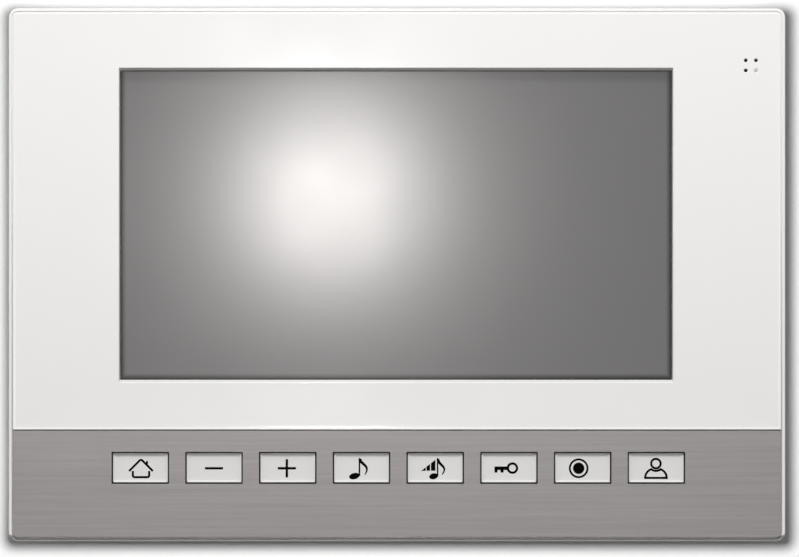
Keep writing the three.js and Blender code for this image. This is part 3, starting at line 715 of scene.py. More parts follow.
def make_fascia():
    """The fascia: an outer profile and the window's loops, joined into one closed ring of rows. Along
    the bottom the cut leaves a bead: y -= BEAD (1 + cos(pi d / BEAD_WIDE)) / 2 at a distance d."""
    front, back = fascia_low.y, fascia_high.y
    edge = [(EDGE_BACK, back), (0, back), (0, front), (0.3 * MM, front)]
    outer = eased(edge, np.array([0.15, 0.16]) * MM)
    beads = [(inset, front) for inset in np.linspace(0.4 * MM, BEAD_WIDE, 6)]
    width, height, middle = seen_from_front(fascia_low, fascia_high)
    corners = [INNER_CORNER, INNER_CORNER, SEAM_CORNER, SEAM_CORNER]
    around = carried(width, height, corners, np.vstack([outer, beads]), middle)
    distance = np.clip((around[..., 2] - fascia_low.z) / BEAD_WIDE, 0, 1)
    at_face = around[..., 1] < front + 0.2 * MM
    around[..., 1] -= np.where(at_face, BEAD * (1 + np.cos(np.pi * distance)) / 2, 0)
    made = solid("fascia", rings=[np.concatenate([around, bevelled_window(front, back)])])
    holes = [(HOLE_X + i * HOLE_PITCH, HOLE_Z - j * HOLE_PITCH) for i in (0, 1) for j in (0, 1)]
    return cut(made, *[flared(HOLE_RADIUS, front, back, x, z) for x, z in holes])


def mark_bevel(made):
    """Gives the bevel its own finish: the faces inside the window's edge, and not far behind the face.
    It takes a little less than the whole bevel, so that no face beyond it turns grey."""
    side, tall, deep = 0.97 * BEVEL_SIDE, 0.97 * BEVEL_TALL, 1.3 * BEVEL_DEEP
    # the bevel's grey is partly the clear sheet's section and partly painted shade
    made.data.materials.append(bevel_grey_and_shade)
    faces = made.data.polygons
    middles = np.empty(3 * len(faces), np.float32)
    faces.foreach_get("center", middles)
    x, y, z = middles.reshape(-1, 3).T
    inside = np.abs(z - WINDOW_CENTRE[1]) < WINDOW_HEIGHT / 2 + tall
    inside &= np.abs(x - WINDOW_CENTRE[0]) < WINDOW_WIDTH / 2 + side
    inside &= (y > fascia_low.y + THIN) & (y < fascia_low.y + deep)
    faces.foreach_set("material_index", inside.astype(np.int32))


fascia = place(make_fascia(), "monitor", acrylic, "white_acrylic", "fascia_panel")
mark_bevel(fascia)

# %% [markdown]
# The strip is pressed from aluminium sheet, and its eight openings have a small chamfer that catches
# the light. It is a plain plate, closed at both ends of its profile, and the openings are cut with
# flared tools.

# %% The control strip
strip_low, strip_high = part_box("control_strip")
CHAMFER = 0.08 * MM


def flared_rectangle(width, height, radius, front, back, centre, flare):
    """A rectangular cutting tool with round corners, wider by `flare` all round at the face."""
    profile = [(-flare - PAST, front - PAST), (-flare, front), (0, front + flare), (0, back + PAST)]
    return carried(width, height, radius, profile, centre, arc=6)


def make_strip():
    """The strip: a plate with eased edges and a flared opening at each button."""
    front, back = strip_low.y, strip_high.y
    flat = 2.0 * MM
    profile = eased([(flat, back), (0, back), (0, front), (flat, front)], np.array([0.1, 0.16]) * MM)
    width, height, middle = seen_from_front(strip_low, strip_high)
    corners = [SEAM_CORNER, SEAM_CORNER, INNER_CORNER, INNER_CORNER]
    made = solid("control_strip", carried(width, height, corners, profile, middle))
    opening = (CAP_WIDTH + 2 * CAP_GAP, CAP_HEIGHT + 2 * CAP_GAP, 0.3 * MM)
    tools = [flared_rectangle(*opening, front, back, (x, BUTTON_Z), CHAMFER) for x in button_x.values()]
    return cut(made, *tools)


place(make_strip(), "monitor", brushed, "brushed_aluminium", "control_strip")

# %% [markdown]
# Black tape holds the strip to the frame. It reaches a little further into the openings than the
# metal does, so that no light comes out round the caps.

# %% The strip's tape
TAPE_GAP, TAPE_MARGIN, TAPE_THICK = 0.1 * MM, 1.0 * MM, 0.16 * MM


def make_tape():
    """A black film behind the strip, with an opening round each cap."""
    x_range = (strip_low.x + TAPE_MARGIN, strip_high.x - TAPE_MARGIN)
    z_range = (strip_low.z + TAPE_MARGIN, strip_high.z - TAPE_MARGIN)
    front = strip_high.y + THIN / 2
    return pierced_sheet("strip_tape", x_range, z_range, button_openings(TAPE_GAP), front, TAPE_THICK)


place(make_tape(), "monitor", foam, "black_foam")

# %% [markdown]
# ## The buttons
# A cap is a block with an eased edge and a shallow dish that the fingertip finds. A lip behind the
# plate keeps it in, and a stem meets the switch. Block and lip are one profile carried round the cap.

# %% The caps
CAP_CORNER = 0.3 * MM
CAP_FRONT = cap_boxes["home"][0].y
LIP = 1.39 * MM
LIP_FRONT, LIP_BACK = -19.9 * MM, -18.9 * MM
STEM_SIDE, STEM_END = 3.2 * MM, cap_boxes["home"][1].y
DISH, DISH_RIM = 0.18 * MM, 0.8 * MM  # how deep the dish is, and how wide the slope round it


def make_cap(name):
    """One cap: dish, eased edge, side and lip in one profile, and the stem as a second solid. The dish
    is flat in the middle, and over its rim it rises by DISH (1 + cos(pi inset / DISH_RIM)) / 2."""
    corners = [
        (0.2 * MM, CAP_FRONT + 0.004 * MM), (0, CAP_FRONT), (0, LIP_FRONT), (-LIP, LIP_FRONT),
        (-LIP, LIP_BACK), (3 * MM, LIP_BACK),
    ]
    edge = eased(corners, np.array([0.1, 0.1, 0.2, 0.2]) * MM)
    inset = np.concatenate([[CAP_HEIGHT / 2 - THIN, 2.5 * MM], np.linspace(DISH_RIM, 0.22 * MM, 9)])
    rise = (1 + np.cos(np.pi * np.minimum(inset / DISH_RIM, 1))) / 2
    dish = np.stack([inset, CAP_FRONT + DISH * (1 - rise)], -1)
    centre = (button_x[name], BUTTON_Z)
    block = carried(CAP_WIDTH, CAP_HEIGHT, CAP_CORNER, np.vstack([dish, edge]), centre, arc=5)
    stem_rows = [(0, LIP_BACK - 0.1 * MM), (0, STEM_END - 0.2 * MM), (0.2 * MM, STEM_END)]
    stem = carried(STEM_SIDE, STEM_SIDE, 0.3 * MM, stem_rows, centre, arc=3)
    return solid(f"button_{name}", block, stem)


for name in BUTTONS:
    place(make_cap(name), f"button_{name}", satin_grey, "button_white", f"cap_{name}")

# %% [markdown]
# The icons are pad printed in black. Printing could be a mask in the cap's material, but ink is a
# film with an edge, and as thin solids the icons stay crisp however near the eye comes. Lines are a
# flat ribbon along a path, and filled shapes are a slab of their outline.

# %% Lines and slabs of ink
INK = 0.025 * MM
INK_BACK = DISH + 0.002 * MM  # ink starts this far behind the cap's edge, just inside its surface


def ink_slab(points, x, z):
    """A filled outline, given in millimetres about the cap's middle, as a film of ink."""
    flat = np.asarray(points, float) * MM + (x, z)
    back = CAP_FRONT + INK_BACK
    return np.array([at_depth(flat, back), at_depth(flat, back - INK)])


def ink_line(points, width, x, z, taper=None):
    """A ribbon along a path: each point moves to both sides, square to the path, by half the width.
    taper scales the width at each point. Returns the outline's slab."""
    path = np.asarray(points, float)
    side = sideways(path) * width / 2
    if taper is not None:
        side = side * np.asarray(taper)[:, None]
    return ink_slab(np.vstack([path + side, (path - side)[::-1]]), x, z)


def arc_points(cx, cz, rx, rz, start, end, count=24, tilt=0.0):
    """Points of an ellipse's arc, in millimetres: the centre plus (rx cos, rz sin), turned by tilt."""
    a = np.radians(np.linspace(start, end, count))
    u, v = rx * np.cos(a), rz * np.sin(a)
    t = math.radians(tilt)
    return np.stack([cx + u * math.cos(t) - v * math.sin(t), cz + u * math.sin(t) + v * math.cos(t)], -1)


def ink_ring(cx, cz, radius, stroke, x, z):
    """A ring of ink: outer edge and inner edge at two depths, as one closed grid."""
    radii = np.array([radius, radius, radius - stroke, radius - stroke]) * MM
    back = CAP_FRONT + INK_BACK
    front = back - INK
    return turned(np.stack([radii, [back, front, front, back]], -1), x + cx * MM, z + cz * MM, around=48)


# %% [markdown]
# Eight icons: a house, minus, plus, an eighth note for the melody, rising bars with a note for the
# volume, a key for the door, a ring with a dot for recording, and a head with shoulders for talking.

# %% The icons
CENTRE_DROP = -0.14  # the printing sits this far below a cap's middle, in millimetres


def bar(x0, z0, x1, z1):
    """A rectangle's outline between two corners."""
    return [(x0, z0), (x1, z0), (x1, z1), (x0, z1)]


def home_icon(x, z):
    """A roof with a round ridge, a chimney, and walls with round lower corners."""
    roof = np.vstack([[(-3.2, -0.8)], arc_points(0.15, 1.85, 0.5, 0.5, 138, 42, 8), [(3.5, -0.8)]])
    walls = np.vstack([
        [(-2.15, -0.75)], arc_points(-1.65, -2.0, 0.5, 0.5, 180, 270, 8),
        arc_points(1.95, -2.0, 0.5, 0.5, 270, 360, 8), [(2.45, -0.75)],
    ])
    chimney = ink_slab(bar(1.55, 0.6, 2.1, 2.05), x, z)
    return [ink_line(roof, 0.62, x, z), ink_line(walls, 0.62, x, z), chimney], []


def minus_icon(x, z):
    """One bar."""
    return [ink_slab(bar(-2.6, -0.33, 2.5, 0.33), x, z)], []


def plus_icon(x, z):
    """Two crossed bars: an upright one, and a level one in two halves beside it."""
    half, reach = 0.34, 2.55
    upright = bar(-0.28 - half, -reach, -0.28 + half, reach)
    level = bar(-0.28 - reach, -half, -0.28 + reach, half)
    return [ink_slab(upright, x, z), ink_slab(level, x, z)], []


def note_parts(x, z, stem, head, flag, weight):
    """An eighth note: a tilted head, a stem, and a flag that narrows as it curls down. stem is its
    left side, its right side and its top; head is its middle and size; flag is a path of points."""
    left, right, top = stem
    centre_x, centre_z, wide, tall = head
    blob = arc_points(centre_x, centre_z, wide / 2, tall / 2, 0, 345, 24, 14)
    share = np.linspace(0, 1, 24)
    knots = np.linspace(0, 1, len(flag))
    curl = np.stack([np.interp(share, knots, column) for column in np.transpose(flag)], -1)
    curl[1:-1] = (curl[:-2] + 2 * curl[1:-1] + curl[2:]) / 4
    return [
        ink_slab(blob, x, z),
        ink_slab(bar(left, centre_z, right, top), x, z),
        ink_line(curl, weight, x, z, taper=1.0 - 0.72 * share**1.5),
    ]


def melody_icon(x, z):
    """One eighth note."""
    flag = [(-0.5, 2.6), (-0.2, 1.85), (0.7, 1.1), (1.35, 0.4), (1.55, -0.4), (1.35, -1.1), (0.95, -1.75)]
    return note_parts(x, z, (-0.8, -0.36, 2.9), (-2.02, -2.2, 3.0, 1.75), flag, 0.88), []


def ring_volume_icon(x, z):
    """Bars under a line that rises to the right, and a note in front of the tallest."""
    def ridge(across):
        return -0.69 + (across + 3.9) * 0.78

    bars = [
        ink_slab([(left, -0.69), (right, -0.69), (right, ridge(right)), (left, ridge(left))], x, z)
        for left, right in ((-4.0, -2.64), (-2.44, -1.44), (-1.2, 0.06))
    ]
    flag = [(0.75, 2.55), (1.0, 1.75), (1.8, 0.9), (2.45, 0.2), (2.6, -0.45), (2.35, -1.2), (1.9, -1.8)]
    return bars + note_parts(x, z, (0.46, 0.88, 2.86), (-0.45, -2.25, 2.5, 1.7), flag, 0.84), []


def unlock_icon(x, z):
    """A key: a ring for the bow, a shaft and two teeth."""
    shaft = bar(-4.05, -0.48, -0.4, 0.5)
    teeth = [bar(left, -1.2, left + 0.85, 0) for left in (-4.05, -2.35)]
    return [ink_slab(shape, x, z) for shape in [shaft, *teeth]], [ink_ring(1.0, 0.05, 1.62, 0.66, x, z)]


def record_icon(x, z):
    """A dot in a ring."""
    dot = arc_points(-1.1, 0, 1.6, 1.6, 0, 350, 36)
    return [ink_slab(dot, x, z)], [ink_ring(-1.1, 0, 2.76, 0.56, x, z)]


def talk_icon(x, z):
    """A head, and shoulders whose line passes behind it."""
    rise = np.array([(-3.15, -2.7), (-2.95, -1.7), (-2.45, -0.95), (-1.75, -0.4), (-1.35, -0.25)])
    neck = arc_points(-0.1, 1.32, 2.05, 2.05, 232, 308, 12)
    mirror = rise[::-1] * (-1, 1) - (0.2, 0)
    shoulders = np.vstack([rise, neck, mirror])
    base = ink_slab(bar(-3.44, -3.02, 3.24, -2.4), x, z)
    return [ink_line(shoulders, 0.62, x, z), base], [ink_ring(-0.1, 1.32, 1.64, 0.62, x, z)]


ICONS = {
    "home": home_icon, "minus": minus_icon, "plus": plus_icon, "melody": melody_icon,
    "ring_volume": ring_volume_icon, "unlock": unlock_icon, "record": record_icon, "talk": talk_icon,
}


def make_icon(name):
    """One icon as one object, from its filled shapes and its rings."""
    slabs, rings = ICONS[name](button_x[name], BUTTON_Z + CENTRE_DROP * MM)
    return solid(f"icon_{name}", *slabs, rings=rings)


for name in BUTTONS:
    place(make_icon(name), f"button_{name}", printed_black, "black_plastic")

# %% [markdown]
# ## The display
# The glass is a plate with slightly eased edges. A black mask is printed round the picture, as a thin
# ring on the glass. It shows for half a millimetre at the sides and below, and for less above.

# %% Glass and mask
glass_low, glass_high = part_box("display_cell")
ACTIVE_WIDTH, ACTIVE_HEIGHT = 154.08 * MM, 86.2 * MM
ACTIVE_CENTRE = (WINDOW_CENTRE[0], WINDOW_CENTRE[1] + 0.15 * MM)


def make_screen():
    """The glass, as a plate with eased edges."""
    width, height, middle = seen_from_front(glass_low, glass_high)
    flat = 2 * MM
    profile = [(flat, glass_high.y), (0, glass_high.y), (0, glass_low.y), (flat, glass_low.y)]
    rows = carried(width, height, 0.3 * MM, eased(profile, 0.1 * MM), middle, arc=4)
    return solid("display_glass", rows)


def make_mask():
    """The black print round the picture: a ring 0.01 mm thick on the glass."""
    thick, reach = 0.01 * MM, 1.6 * MM
    front, back = glass_low.y - thick, glass_low.y
    profile = [(-reach, back), (-reach, front), (0, front), (0, back)]
    rows = carried(ACTIVE_WIDTH, ACTIVE_HEIGHT, THIN, profile, ACTIVE_CENTRE, arc=2)
    return solid("display_mask", rings=[rows])


place(make_screen(), "monitor", screen_film, "display_glass", "display_cell")
place(make_mask(), "monitor", black_mask, "black_plastic")
print("the picture is", round(ACTIVE_WIDTH / MM, 1), "by", round(ACTIVE_HEIGHT / MM, 1), "mm")

# %% [markdown]
# The window's edge keeps some light from the rim of the recessed glass. A lamp alone leaves that rim
# too even, so painted shade darkens the film's colour and its painted glow there. The painted shade
# is lighter along the top, where the edge already casts a real shadow.

# %% Painted shade round the film's edge
SHADE_CENTRE, SHADE_HALVES = (-0.25 * MM, 14.6 * MM), (77.45 * MM, 43.8 * MM)  # middle, half sizes
SHADE_SOFT, SHADE_LOW = 1.8 * MM, 0.28


def shade_towards_edge(material):
    """Darkens a material towards the edge of a rectangle in x and z: with d the distance to the nearest
    edge, the colour and the glow are scaled by SHADE_LOW at d = 0, rising to 1 at d = SHADE_SOFT."""
    tree = material.node_tree
    where = add(tree, "ShaderNodeTexCoord").outputs["Object"]
    axes = add(tree, "ShaderNodeSeparateXYZ", {0: where}).outputs
    sides = []
    for axis, middle, half in zip("XZ", SHADE_CENTRE, SHADE_HALVES):
        offset = calc(tree, "ABSOLUTE", calc(tree, "SUBTRACT", axes[axis], middle))
        sides.append(calc(tree, "SUBTRACT", half, offset))
    nearest = calc(tree, "MINIMUM", *sides)
    factor = spread(tree, nearest, SHADE_LOW, 1.0, 0.0, SHADE_SOFT, interpolation_type="SMOOTHSTEP")
    shader = tree.nodes["Principled BSDF"].inputs
    darker = scaled(tree, shader["Base Color"].links[0].from_socket, factor)
    for label in ("Base Color", "Emission Color"):
        tree.links.new(darker, shader[label])


# painted shade: the film's colour and glow darken towards the window's edge
shade_towards_edge(screen_film)
print("the film darkens within", round(SHADE_SOFT / MM, 1), "mm of its edge")

# %% [markdown]
# Behind the three sound holes lies black acoustic mesh, as fine as cloth, that keeps dust and water
# from the microphone. A black plug in each hole, just below the face, stands for it and also paints
# the shade deep in the hole.

# %% Acoustic mesh and painted hole shade


def make_mesh_and_hole_shade():
    """One round plug in each of the three sound holes."""
    recess, back = fascia_low.y + 0.3 * MM, fascia_high.y + 0.1 * MM
    radius = HOLE_RADIUS - 0.01 * MM
    places = [(HOLE_X, HOLE_Z), (HOLE_X + HOLE_PITCH, HOLE_Z), (HOLE_X, HOLE_Z - HOLE_PITCH)]
    profile = [(radius, recess), (radius, back)]
    return solid("mesh_and_hole_shade", *[turned(profile, x, z, around=24) for x, z in places])


# the black plugs are partly the acoustic mesh and partly painted shade inside the holes
place(make_mesh_and_hole_shade(), "monitor", foam, "black_foam")

# %% [markdown]
# The status light's pipe is a clear pin with a domed end that fills the fourth hole.

# %% The status light pipe
pipe_low, pipe_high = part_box("status_light_pipe")
PIPE_RADIUS, PIPE_DOME = HOLE_RADIUS - 0.02 * MM, 0.2 * MM
COLLAR_RADIUS, COLLAR_FRONT = 1.1 * MM, -19.8 * MM


def make_pipe():
    """A pin with a domed tip and a collar behind the plate, turned about its own line. At an angle a
    the dome's radius is PIPE_RADIUS sin a, and it lies PIPE_DOME (1 - cos a) behind the tip."""
    centre = seen_from_front(pipe_low, pipe_high)[2]
    dome = np.linspace(0, np.pi / 2, 7)
    tip = np.stack([PIPE_RADIUS * np.sin(dome), pipe_low.y + PIPE_DOME * (1 - np.cos(dome))], -1)
    collar = [(PIPE_RADIUS, COLLAR_FRONT), (COLLAR_RADIUS, COLLAR_FRONT), (COLLAR_RADIUS, pipe_high.y)]
    return solid("status_light", turned(np.vstack([tip, collar]), *centre, around=28))


place(make_pipe(), "monitor", clear_pipe, "clear_plastic", "status_light_pipe")

# %% [markdown]
# ## The back
# The rear cover is a shallow tray whose sides slope in towards the wall, which makes the monitor look
# thinner. Its outline changes size and corner radius with depth, so each row has its own rectangle.
# The outer rows run from the back to the front edge, and the inner rows run back down the inside.

# %% The rear cover's shell
COVER_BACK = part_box("rear_cover")[1].y
COVER_FRONT = FRAME_BACK + 0.3 * MM
BACK_WIDTH = 201.5 * MM
SLOPE_IN = (BODY_WIDTH - BACK_WIDTH) / 2  # how far the slope moves in on its way to the back
SLOPE_SHIFT = 0.6 * MM  # how far the slope's inner bends lie from its outer ones
BEND = -9.0 * MM
SHELL = 2.0 * MM
CORNER_GROWTH = 4.5 * MM  # how much rounder the corners are at the back


def make_cover():
    """The shell: rows of (inset, y) from the back's middle, round the edge, to the inside, as loops of
    points. The slope's bends are eased, as in any moulding. A loop's corner radius is BODY_CORNER +
    CORNER_GROWTH x the share of the slope that it has moved in."""
    inner_back = COVER_BACK - SHELL
    outside = [
        (SLOPE_IN + 6 * MM, COVER_BACK), (SLOPE_IN, COVER_BACK), (0, BEND), (0, COVER_FRONT),
        (SHELL, COVER_FRONT),
    ]
    inside = [
        (SHELL, COVER_FRONT), (SHELL, BEND + SLOPE_SHIFT), (SLOPE_IN + SLOPE_SHIFT, inner_back),
        (SLOPE_IN + 7 * MM, inner_back),
    ]
    outside = eased(outside, np.array([2.2, 2.0, 0.25]) * MM, steps=6)[:-1]
    loops = []
    for inset, y in np.vstack([outside, eased(inside, 1.5 * MM)]):
        radius = BODY_CORNER + min(inset / SLOPE_IN, 1) * CORNER_GROWTH
        shape = outline(BODY_WIDTH - 2 * inset, BODY_HEIGHT - 2 * inset, radius, arc=12)
        loops.append(at_depth(shape, y))
    return solid("rear_cover", np.array(loops))


cover = make_cover()
print("rear cover's shell:", len(cover.data.polygons), "faces")

# %% [markdown]
# Now what the cover needs to work: a recess for the bracket, four slots for its hooks, a window for
# the cable, cooling slots, the speaker's grille and four counterbores for the screws. The recess has
# a floor and walls of its own, so a pan is added behind it first, and then everything is cut.

# %% Openings of the rear cover
bracket_low, bracket_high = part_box("wall_bracket")
RECESS = (-54 * MM, 54 * MM, -50 * MM, 43.5 * MM)
RECESS_FLOOR, BEHIND_FLOOR = -4.6 * MM, -9 * MM
HOOKS_AT = [(x * MM, bottom * MM) for bottom in (22, -30) for x in (-42, 42)]  # x, and the hook's bottom
HOOK_WIDTH, STEEL = 8 * MM, 1.2 * MM
SLOT_TALL, SLOT_SIDE, SLOT_TOP = 9 * MM, 1 * MM, 0.2 * MM  # a hook's slot, and its play beside and above
CABLE_WINDOW = (-24 * MM, 24 * MM, -40 * MM, -12 * MM)
COOLING_X = (np.arange(17) - 8) * 8 * MM
COOLING_ROWS, COOLING_HALF = [(51 * MM, 61 * MM), (-63 * MM, -56 * MM)], 1.2 * MM
SPEAKER_AT, SPEAKER_REACH = (-78 * MM, 12 * MM), 15 * MM
GRILLE_PITCH, GRILLE_HALF = 4.2 * MM, 1.0 * MM
SCREW_AT = [(-92 * MM, 44 * MM), (92 * MM, 44 * MM), (-92 * MM, -60 * MM), (92 * MM, -60 * MM)]
POST, BORE, SHANK_HOLE, BORE_FLOOR = 4.6 * MM, 3.4 * MM, 1.8 * MM, -6 * MM
SUNK = 1 * MM  # how far an added part's back lies inside the shell's back
OUT = 0.6 * MM  # how far a tool runs past the surface


def block(x0, x1, z0, z1, front, back, radius=0.4 * MM, flare=0.0):
    """A rectangular tool from y = front to y = back, whose mouth at the back face may flare."""
    flared_mouth = [(0, COVER_BACK - flare), (-flare, COVER_BACK)] if flare else []
    profile = [(0, front), *flared_mouth, (-flare, back)]
    centre = ((x0 + x1) / 2, (z0 + z1) / 2)
    return carried(x1 - x0, z1 - z0, radius, profile, centre, arc=4)


def recess_pan():
    """The walls and floor behind the recess, as a solid block before it is hollowed."""
    x0, x1, z0, z1 = RECESS
    sides = (x0 - SHELL, x1 + SHELL, z0 - SHELL, z1 + SHELL)
    return block(*sides, RECESS_FLOOR - SHELL, COVER_BACK - SUNK, 1.5 * MM)


def vent(x0, x1, z0, z1, radius):
    """One slot through the cover's back, with a small flare."""
    return block(x0, x1, z0, z1, COVER_BACK - SHELL - SUNK, COVER_BACK + OUT, radius, 0.15 * MM)


def cooling_tools():
    """Two rows of upright cooling slots with round ends."""
    half = COOLING_HALF
    return [vent(x - half, x + half, z0, z1, 1.1 * MM) for x in COOLING_X for z0, z1 in COOLING_ROWS]


def grille_tools():
    """Seven slots whose lengths fill a circle: half length = sqrt(reach^2 - height^2)."""
    x, z = SPEAKER_AT
    heights = (np.arange(7) - 3) * GRILLE_PITCH
    halves = np.sqrt(SPEAKER_REACH**2 - heights**2)
    return [
        vent(x - half, x + half, z + dz - GRILLE_HALF, z + dz + GRILLE_HALF, 0.95 * MM)
        for dz, half in zip(heights, halves)
    ]


def hook_slot(x, bottom):
    """The slot that a hook passes through, in the recess's floor."""
    half, top = HOOK_WIDTH / 2 + SLOT_SIDE, bottom + STEEL + SLOT_TOP
    return block(x - half, x + half, top - SLOT_TALL, top, BEHIND_FLOOR, RECESS_FLOOR + OUT)


def counterbore(x, z):
    """A round tool for a screw: a wide flat-bottomed bore and a narrow one through its floor."""
    wider = BORE + 0.2 * MM
    rows = [
        (SHANK_HOLE, -10 * MM), (SHANK_HOLE, BORE_FLOOR), (BORE, BORE_FLOOR),
        (BORE, COVER_BACK - 0.2 * MM), (wider, COVER_BACK), (wider, COVER_BACK + OUT),
    ]
    return turned(rows, x, z)


def screw_post(x, z):
    """The post that the screw's head seats in."""
    return turned([(POST, BEHIND_FLOOR), (POST, COVER_BACK - SUNK)], x, z)


def finish_cover():
    """Adds the pan and posts to the shell, then hollows the recess and cuts every opening."""
    combine(cover, "UNION", recess_pan(), *[screw_post(x, z) for x, z in SCREW_AT])
    cut(cover, block(*RECESS, RECESS_FLOOR, COVER_BACK + OUT, radius=2 * MM, flare=0.4 * MM))
    cable = block(*CABLE_WINDOW, BEHIND_FLOOR, RECESS_FLOOR + OUT, radius=1.5 * MM)
    cut(cover, *[hook_slot(x, bottom) for x, bottom in HOOKS_AT], cable)
    return cut(cover, *cooling_tools(), *grille_tools(), *[counterbore(x, z) for x, z in SCREW_AT])


place(finish_cover(), "monitor", grained_white, "matte_white_cover", "rear_cover")

# %% [markdown]
# The bracket is pressed from 1.2 mm steel. Its edges are eased by deburring, its hooks are bent out
# of the plate and leave their blanks open above them, and four slots take the wall screws.

# %% The wall bracket
BRACKET_CORNER = 4 * MM
HOOK_RISE = 5.8 * MM
BEND_RADIUS = 1.0 * MM
STRAP_EDGE = 0.15 * MM
BLANK_TALL = HOOK_RISE + SHELL + 5.6 * MM  # the opening above a hook, as tall as its steel was flat
BLANK_PLAY = 0.8 * MM
BRACKET_WINDOW = (44 * MM, 26 * MM, 2 * MM, 0, -25 * MM)  # width, height, corner radius, x and z
SCREW_SLOT = (8 * MM, 3.8 * MM, 1.88 * MM)
SCREW_SLOTS_AT = [(-30 * MM, 30 * MM), (30 * MM, 30 * MM), (-34 * MM, -36 * MM), (34 * MM, -36 * MM)]


def strap(path, width, thick, x):
    """A flat strap across X: a path of (y, z) points moved to both sides by half the thickness, at the
    strap's two edges. Gives a grid whose rows follow the path."""
    side = sideways(path) * thick / 2
    half, inner = width / 2, width / 2 - STRAP_EDGE
    across = [
        (-half, -0.6), (-half, 0.6), (-inner, 1), (inner, 1),
        (half, 0.6), (half, -0.6), (inner, -1), (-inner, -1),
    ]
    columns = [np.insert(path + side * share, 0, x + dx, axis=1) for dx, share in across]
    return np.stack(columns, 1)


def hook(x, bottom):
    """One hook: out of the plate along -Y, then up, with an eased bend."""
    middle = bottom + STEEL / 2
    tip_y = bracket_low.y + STEEL / 2
    top = bottom + STEEL + HOOK_RISE
    path = eased([(-STEEL / 2, middle), (tip_y, middle), (tip_y, top)], BEND_RADIUS, steps=8)
    return strap(path, HOOK_WIDTH, STEEL, x)


def make_bracket():
    """The plate with its cable window, screw slots and hook blanks, and the four hooks."""
    width, height, middle = seen_from_front(bracket_low, bracket_high)
    flat = 2 * MM
    profile = eased([(flat, 0), (0, 0), (0, -STEEL), (flat, -STEEL)], 0.25 * MM)
    plate = solid("wall_bracket", carried(width, height, BRACKET_CORNER, profile, middle, arc=10))
    shapes = [BRACKET_WINDOW, *[(*SCREW_SLOT, x, z) for x, z in SCREW_SLOTS_AT]]
    for x, bottom in HOOKS_AT:
        blank_middle = bottom + STEEL + BLANK_TALL / 2
        shapes.append((HOOK_WIDTH + BLANK_PLAY, BLANK_TALL, 0.5 * MM, x, blank_middle))
    through = [(0, -STEEL - OUT), (0, OUT)]
    cut(plate, *[carried(w, h, radius, through, (x, z)) for w, h, radius, x, z in shapes])
    return combine(plate, "UNION", *[hook(x, bottom) for x, bottom in HOOKS_AT])


place(make_bracket(), "wall_bracket", zinc, "zinc_steel", "wall_bracket")

# %% [markdown]
# The cover's screws are pan heads with a cross recess. The head is a profile turned about its axis,
# and the recess is cut with two crossed blocks that narrow towards the bottom.

# %% The cover screws
SEAT, SHANK, POINT = -5.9 * MM, 1.45 * MM, 0.5 * MM  # the head's underside, and two radii
CROWN_FALL, HEAD_SIDE = 0.15 * MM, 1.2 * MM  # the depths where the crown's flat and the crown end
ARM_WIDE, ARM_DEEP, ARM_TAPER = 0.72 * MM, 1.4 * MM, 0.16 * MM


def make_screw(name):
    """A pan head on its shank, with a cross recess in its crown."""
    low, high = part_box(name)
    middle = seen_from_front(low, high)[2]
    top, head = high.y, (high.x - low.x) / 2
    corners = [
        (0.0, top), (head * 0.62, top - CROWN_FALL), (head, top - HEAD_SIDE), (head, SEAT), (SHANK, SEAT),
    ]
    crown = eased(corners, np.array([0.5, 0.5, 0.15]) * MM, steps=5)
    body = [(SHANK, low.y + 0.8 * MM), (POINT, low.y)]
    screw = solid(name + "_steel", turned(np.vstack([crown, body]), *middle, around=36))
    rows = [(ARM_TAPER, top - ARM_DEEP), (0, top + OUT)]
    for wide, tall in ((head * 1.15, ARM_WIDE), (ARM_WIDE, head * 1.15)):
        cut(screw, carried(wide, tall, 0.1 * MM, rows, middle, arc=2))
    return screw


for number in range(1, 5):
    name = f"cover_screw_{number}"
    place(make_screw(name), "monitor", zinc, "zinc_steel", name)

# %% [markdown]
# ## Studio
# The set is pale: a floor, and a wall behind the monitor that catches its soft shadow. The wall is
# seen only from the front. From behind it is clear, and it keeps no light from the monitor's back.

# %% Floor and wall


def stage_material(name, colour, one_sided=False):
    """A matt pale paint with a trace of mottle. One-sided paint is clear when seen from behind."""
    made = finish(name, colour, 0.9, tone=(1.5, 0.01), rough_spread=0.02, dusty=0.0)
    if one_sided:
        tree = made.node_tree
        behind = add(tree, "ShaderNodeNewGeometry").outputs["Backfacing"]
        clear = add(tree, "ShaderNodeBsdfTransparent").outputs[0]
        paint = tree.nodes["Principled BSDF"].outputs[0]
        either = add(tree, "ShaderNodeMixShader", {0: behind, 1: paint, 2: clear})
        tree.links.new(either.outputs[0], tree.nodes["Material Output"].inputs[0])
    return made


def stage_plane(name, corners, material):
    """A single quad of the set."""
    mesh = bpy.data.meshes.new(name)
    mesh.from_pydata(corners, [], [(0, 1, 2, 3)])
    mesh.materials.append(material)
    made = new_object(name, mesh)
    return made


FLOOR_Z, REACH, WALL_Y = -0.26, 3.0, 0.4 * MM
SQUARE = ((-1, -1), (1, -1), (1, 1), (-1, 1))
on_floor = [(x * REACH, y * REACH, FLOOR_Z) for x, y in SQUARE]
on_wall = [(x * REACH, WALL_Y, REACH if up > 0 else FLOOR_Z) for x, up in SQUARE]
floor = stage_plane("floor", on_floor, stage_material("pale floor", (0.80, 0.80, 0.80)))
wall = stage_plane("wall", on_wall, stage_material("pale wall", (0.90, 0.90, 0.90), one_sided=True))
for ray in ("visible_diffuse", "visible_glossy", "visible_transmission", "visible_shadow"):
    setattr(wall, ray, False)
floor.visible_diffuse = False
print("the set: floor at", FLOOR_Z, "m, wall just behind the bracket")

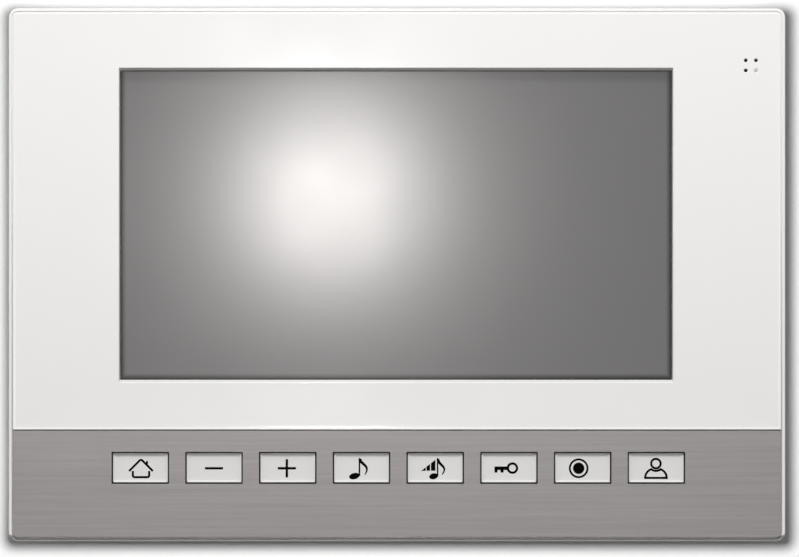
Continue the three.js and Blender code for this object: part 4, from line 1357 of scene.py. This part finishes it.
# %% [markdown]
# A tight shadow on the wall and shaded edges on the monitor ask for opposite lamps: the first a small
# one near the lens, the second a large one high above. So they are kept apart, as a retoucher would:
# one lamp lights the wall alone, and the modelling lamps leave the wall out. Panels at the sides and
# behind shape the edges, and a small lamp close to the lens makes the glow on the screen. The glow
# lies halfway between the camera and this lamp, so the lamp's place is twice the glow's minus the
# camera's.

# %% Lights


def reach_of(name, state):
    """A light linking collection: a lamp that uses it lights only the wall, or all but the wall."""
    made = bpy.data.collections.new(name)
    made.objects.link(wall)
    made.collection_objects[0].light_linking.link_state = state
    return made


ONLY_WALL, NOT_WALL = reach_of("only the wall", "INCLUDE"), reach_of("all but the wall", "EXCLUDE")
CENTRE = (0, -0.02, 0)  # what every lamp looks at


def lamp(name, power, size, at, size_y=None, gloss=True, reach=NOT_WALL, colour=(1, 1, 1)):
    """An area light that looks from its place to the monitor: a disc, or a rectangle with size_y."""
    data = bpy.data.lights.new(name, "AREA")
    data.energy, data.size, data.shape, data.color = power, size, "DISK", colour
    if size_y:
        data.shape, data.size_y = "RECTANGLE", size_y
    made = new_object(name, data)
    made.location = at
    made.rotation_euler = (Vector(CENTRE) - Vector(at)).to_track_quat("-Z", "Y").to_euler()
    made.visible_glossy = gloss
    made.visible_camera = False
    made.light_linking.receiver_collection = reach
    return made


def make_world(low, high):
    """A grey surround, from low straight below to high straight above."""
    world = bpy.data.worlds.new("studio")
    world.use_nodes = True
    tree = world.node_tree
    towards = add(tree, "ShaderNodeTexCoord").outputs["Generated"]
    up = add(tree, "ShaderNodeSeparateXYZ", {0: towards}).outputs["Z"]
    tree.links.new(spread(tree, up, low, high, -1.0, 1.0), tree.nodes["Background"].inputs["Strength"])
    tree.nodes["Background"].inputs["Color"].default_value = (1, 1, 1, 1)
    bpy.context.scene.world = world


GLOW = (-18.9 * MM, 23.3 * MM)
WARM = (1.0, 0.968, 0.95)
eye = camera.location
beside_lens = (2 * GLOW[0] - eye.x, eye.y, 2 * GLOW[1] - eye.z)
make_world(0.02, 0.26)
lamp("wall shadow", 3.25, 0.095, (-0.0125, -0.55, 0.022), gloss=False, reach=ONLY_WALL)
lamp("key", 10.1, 0.32, (0.02, -0.62, 0.85), gloss=False)
lamp("top", 2.6, 0.9, (-0.2, -0.5, 0.95), 0.5)
lamp("left", 1.5, 0.5, (-1.0, -0.45, 0.1), 0.9)
lamp("right", 1.7, 0.5, (1.05, -0.4, 0.15), 0.9)
lamp("rear", 7.0, 0.9, (-0.45, 0.95, 0.6), 0.6)
lamp("glow", 1.1, 0.07, beside_lens, colour=WARM)
bpy.context.scene.view_settings.view_transform = "Standard"
print("seven lights and the surround")
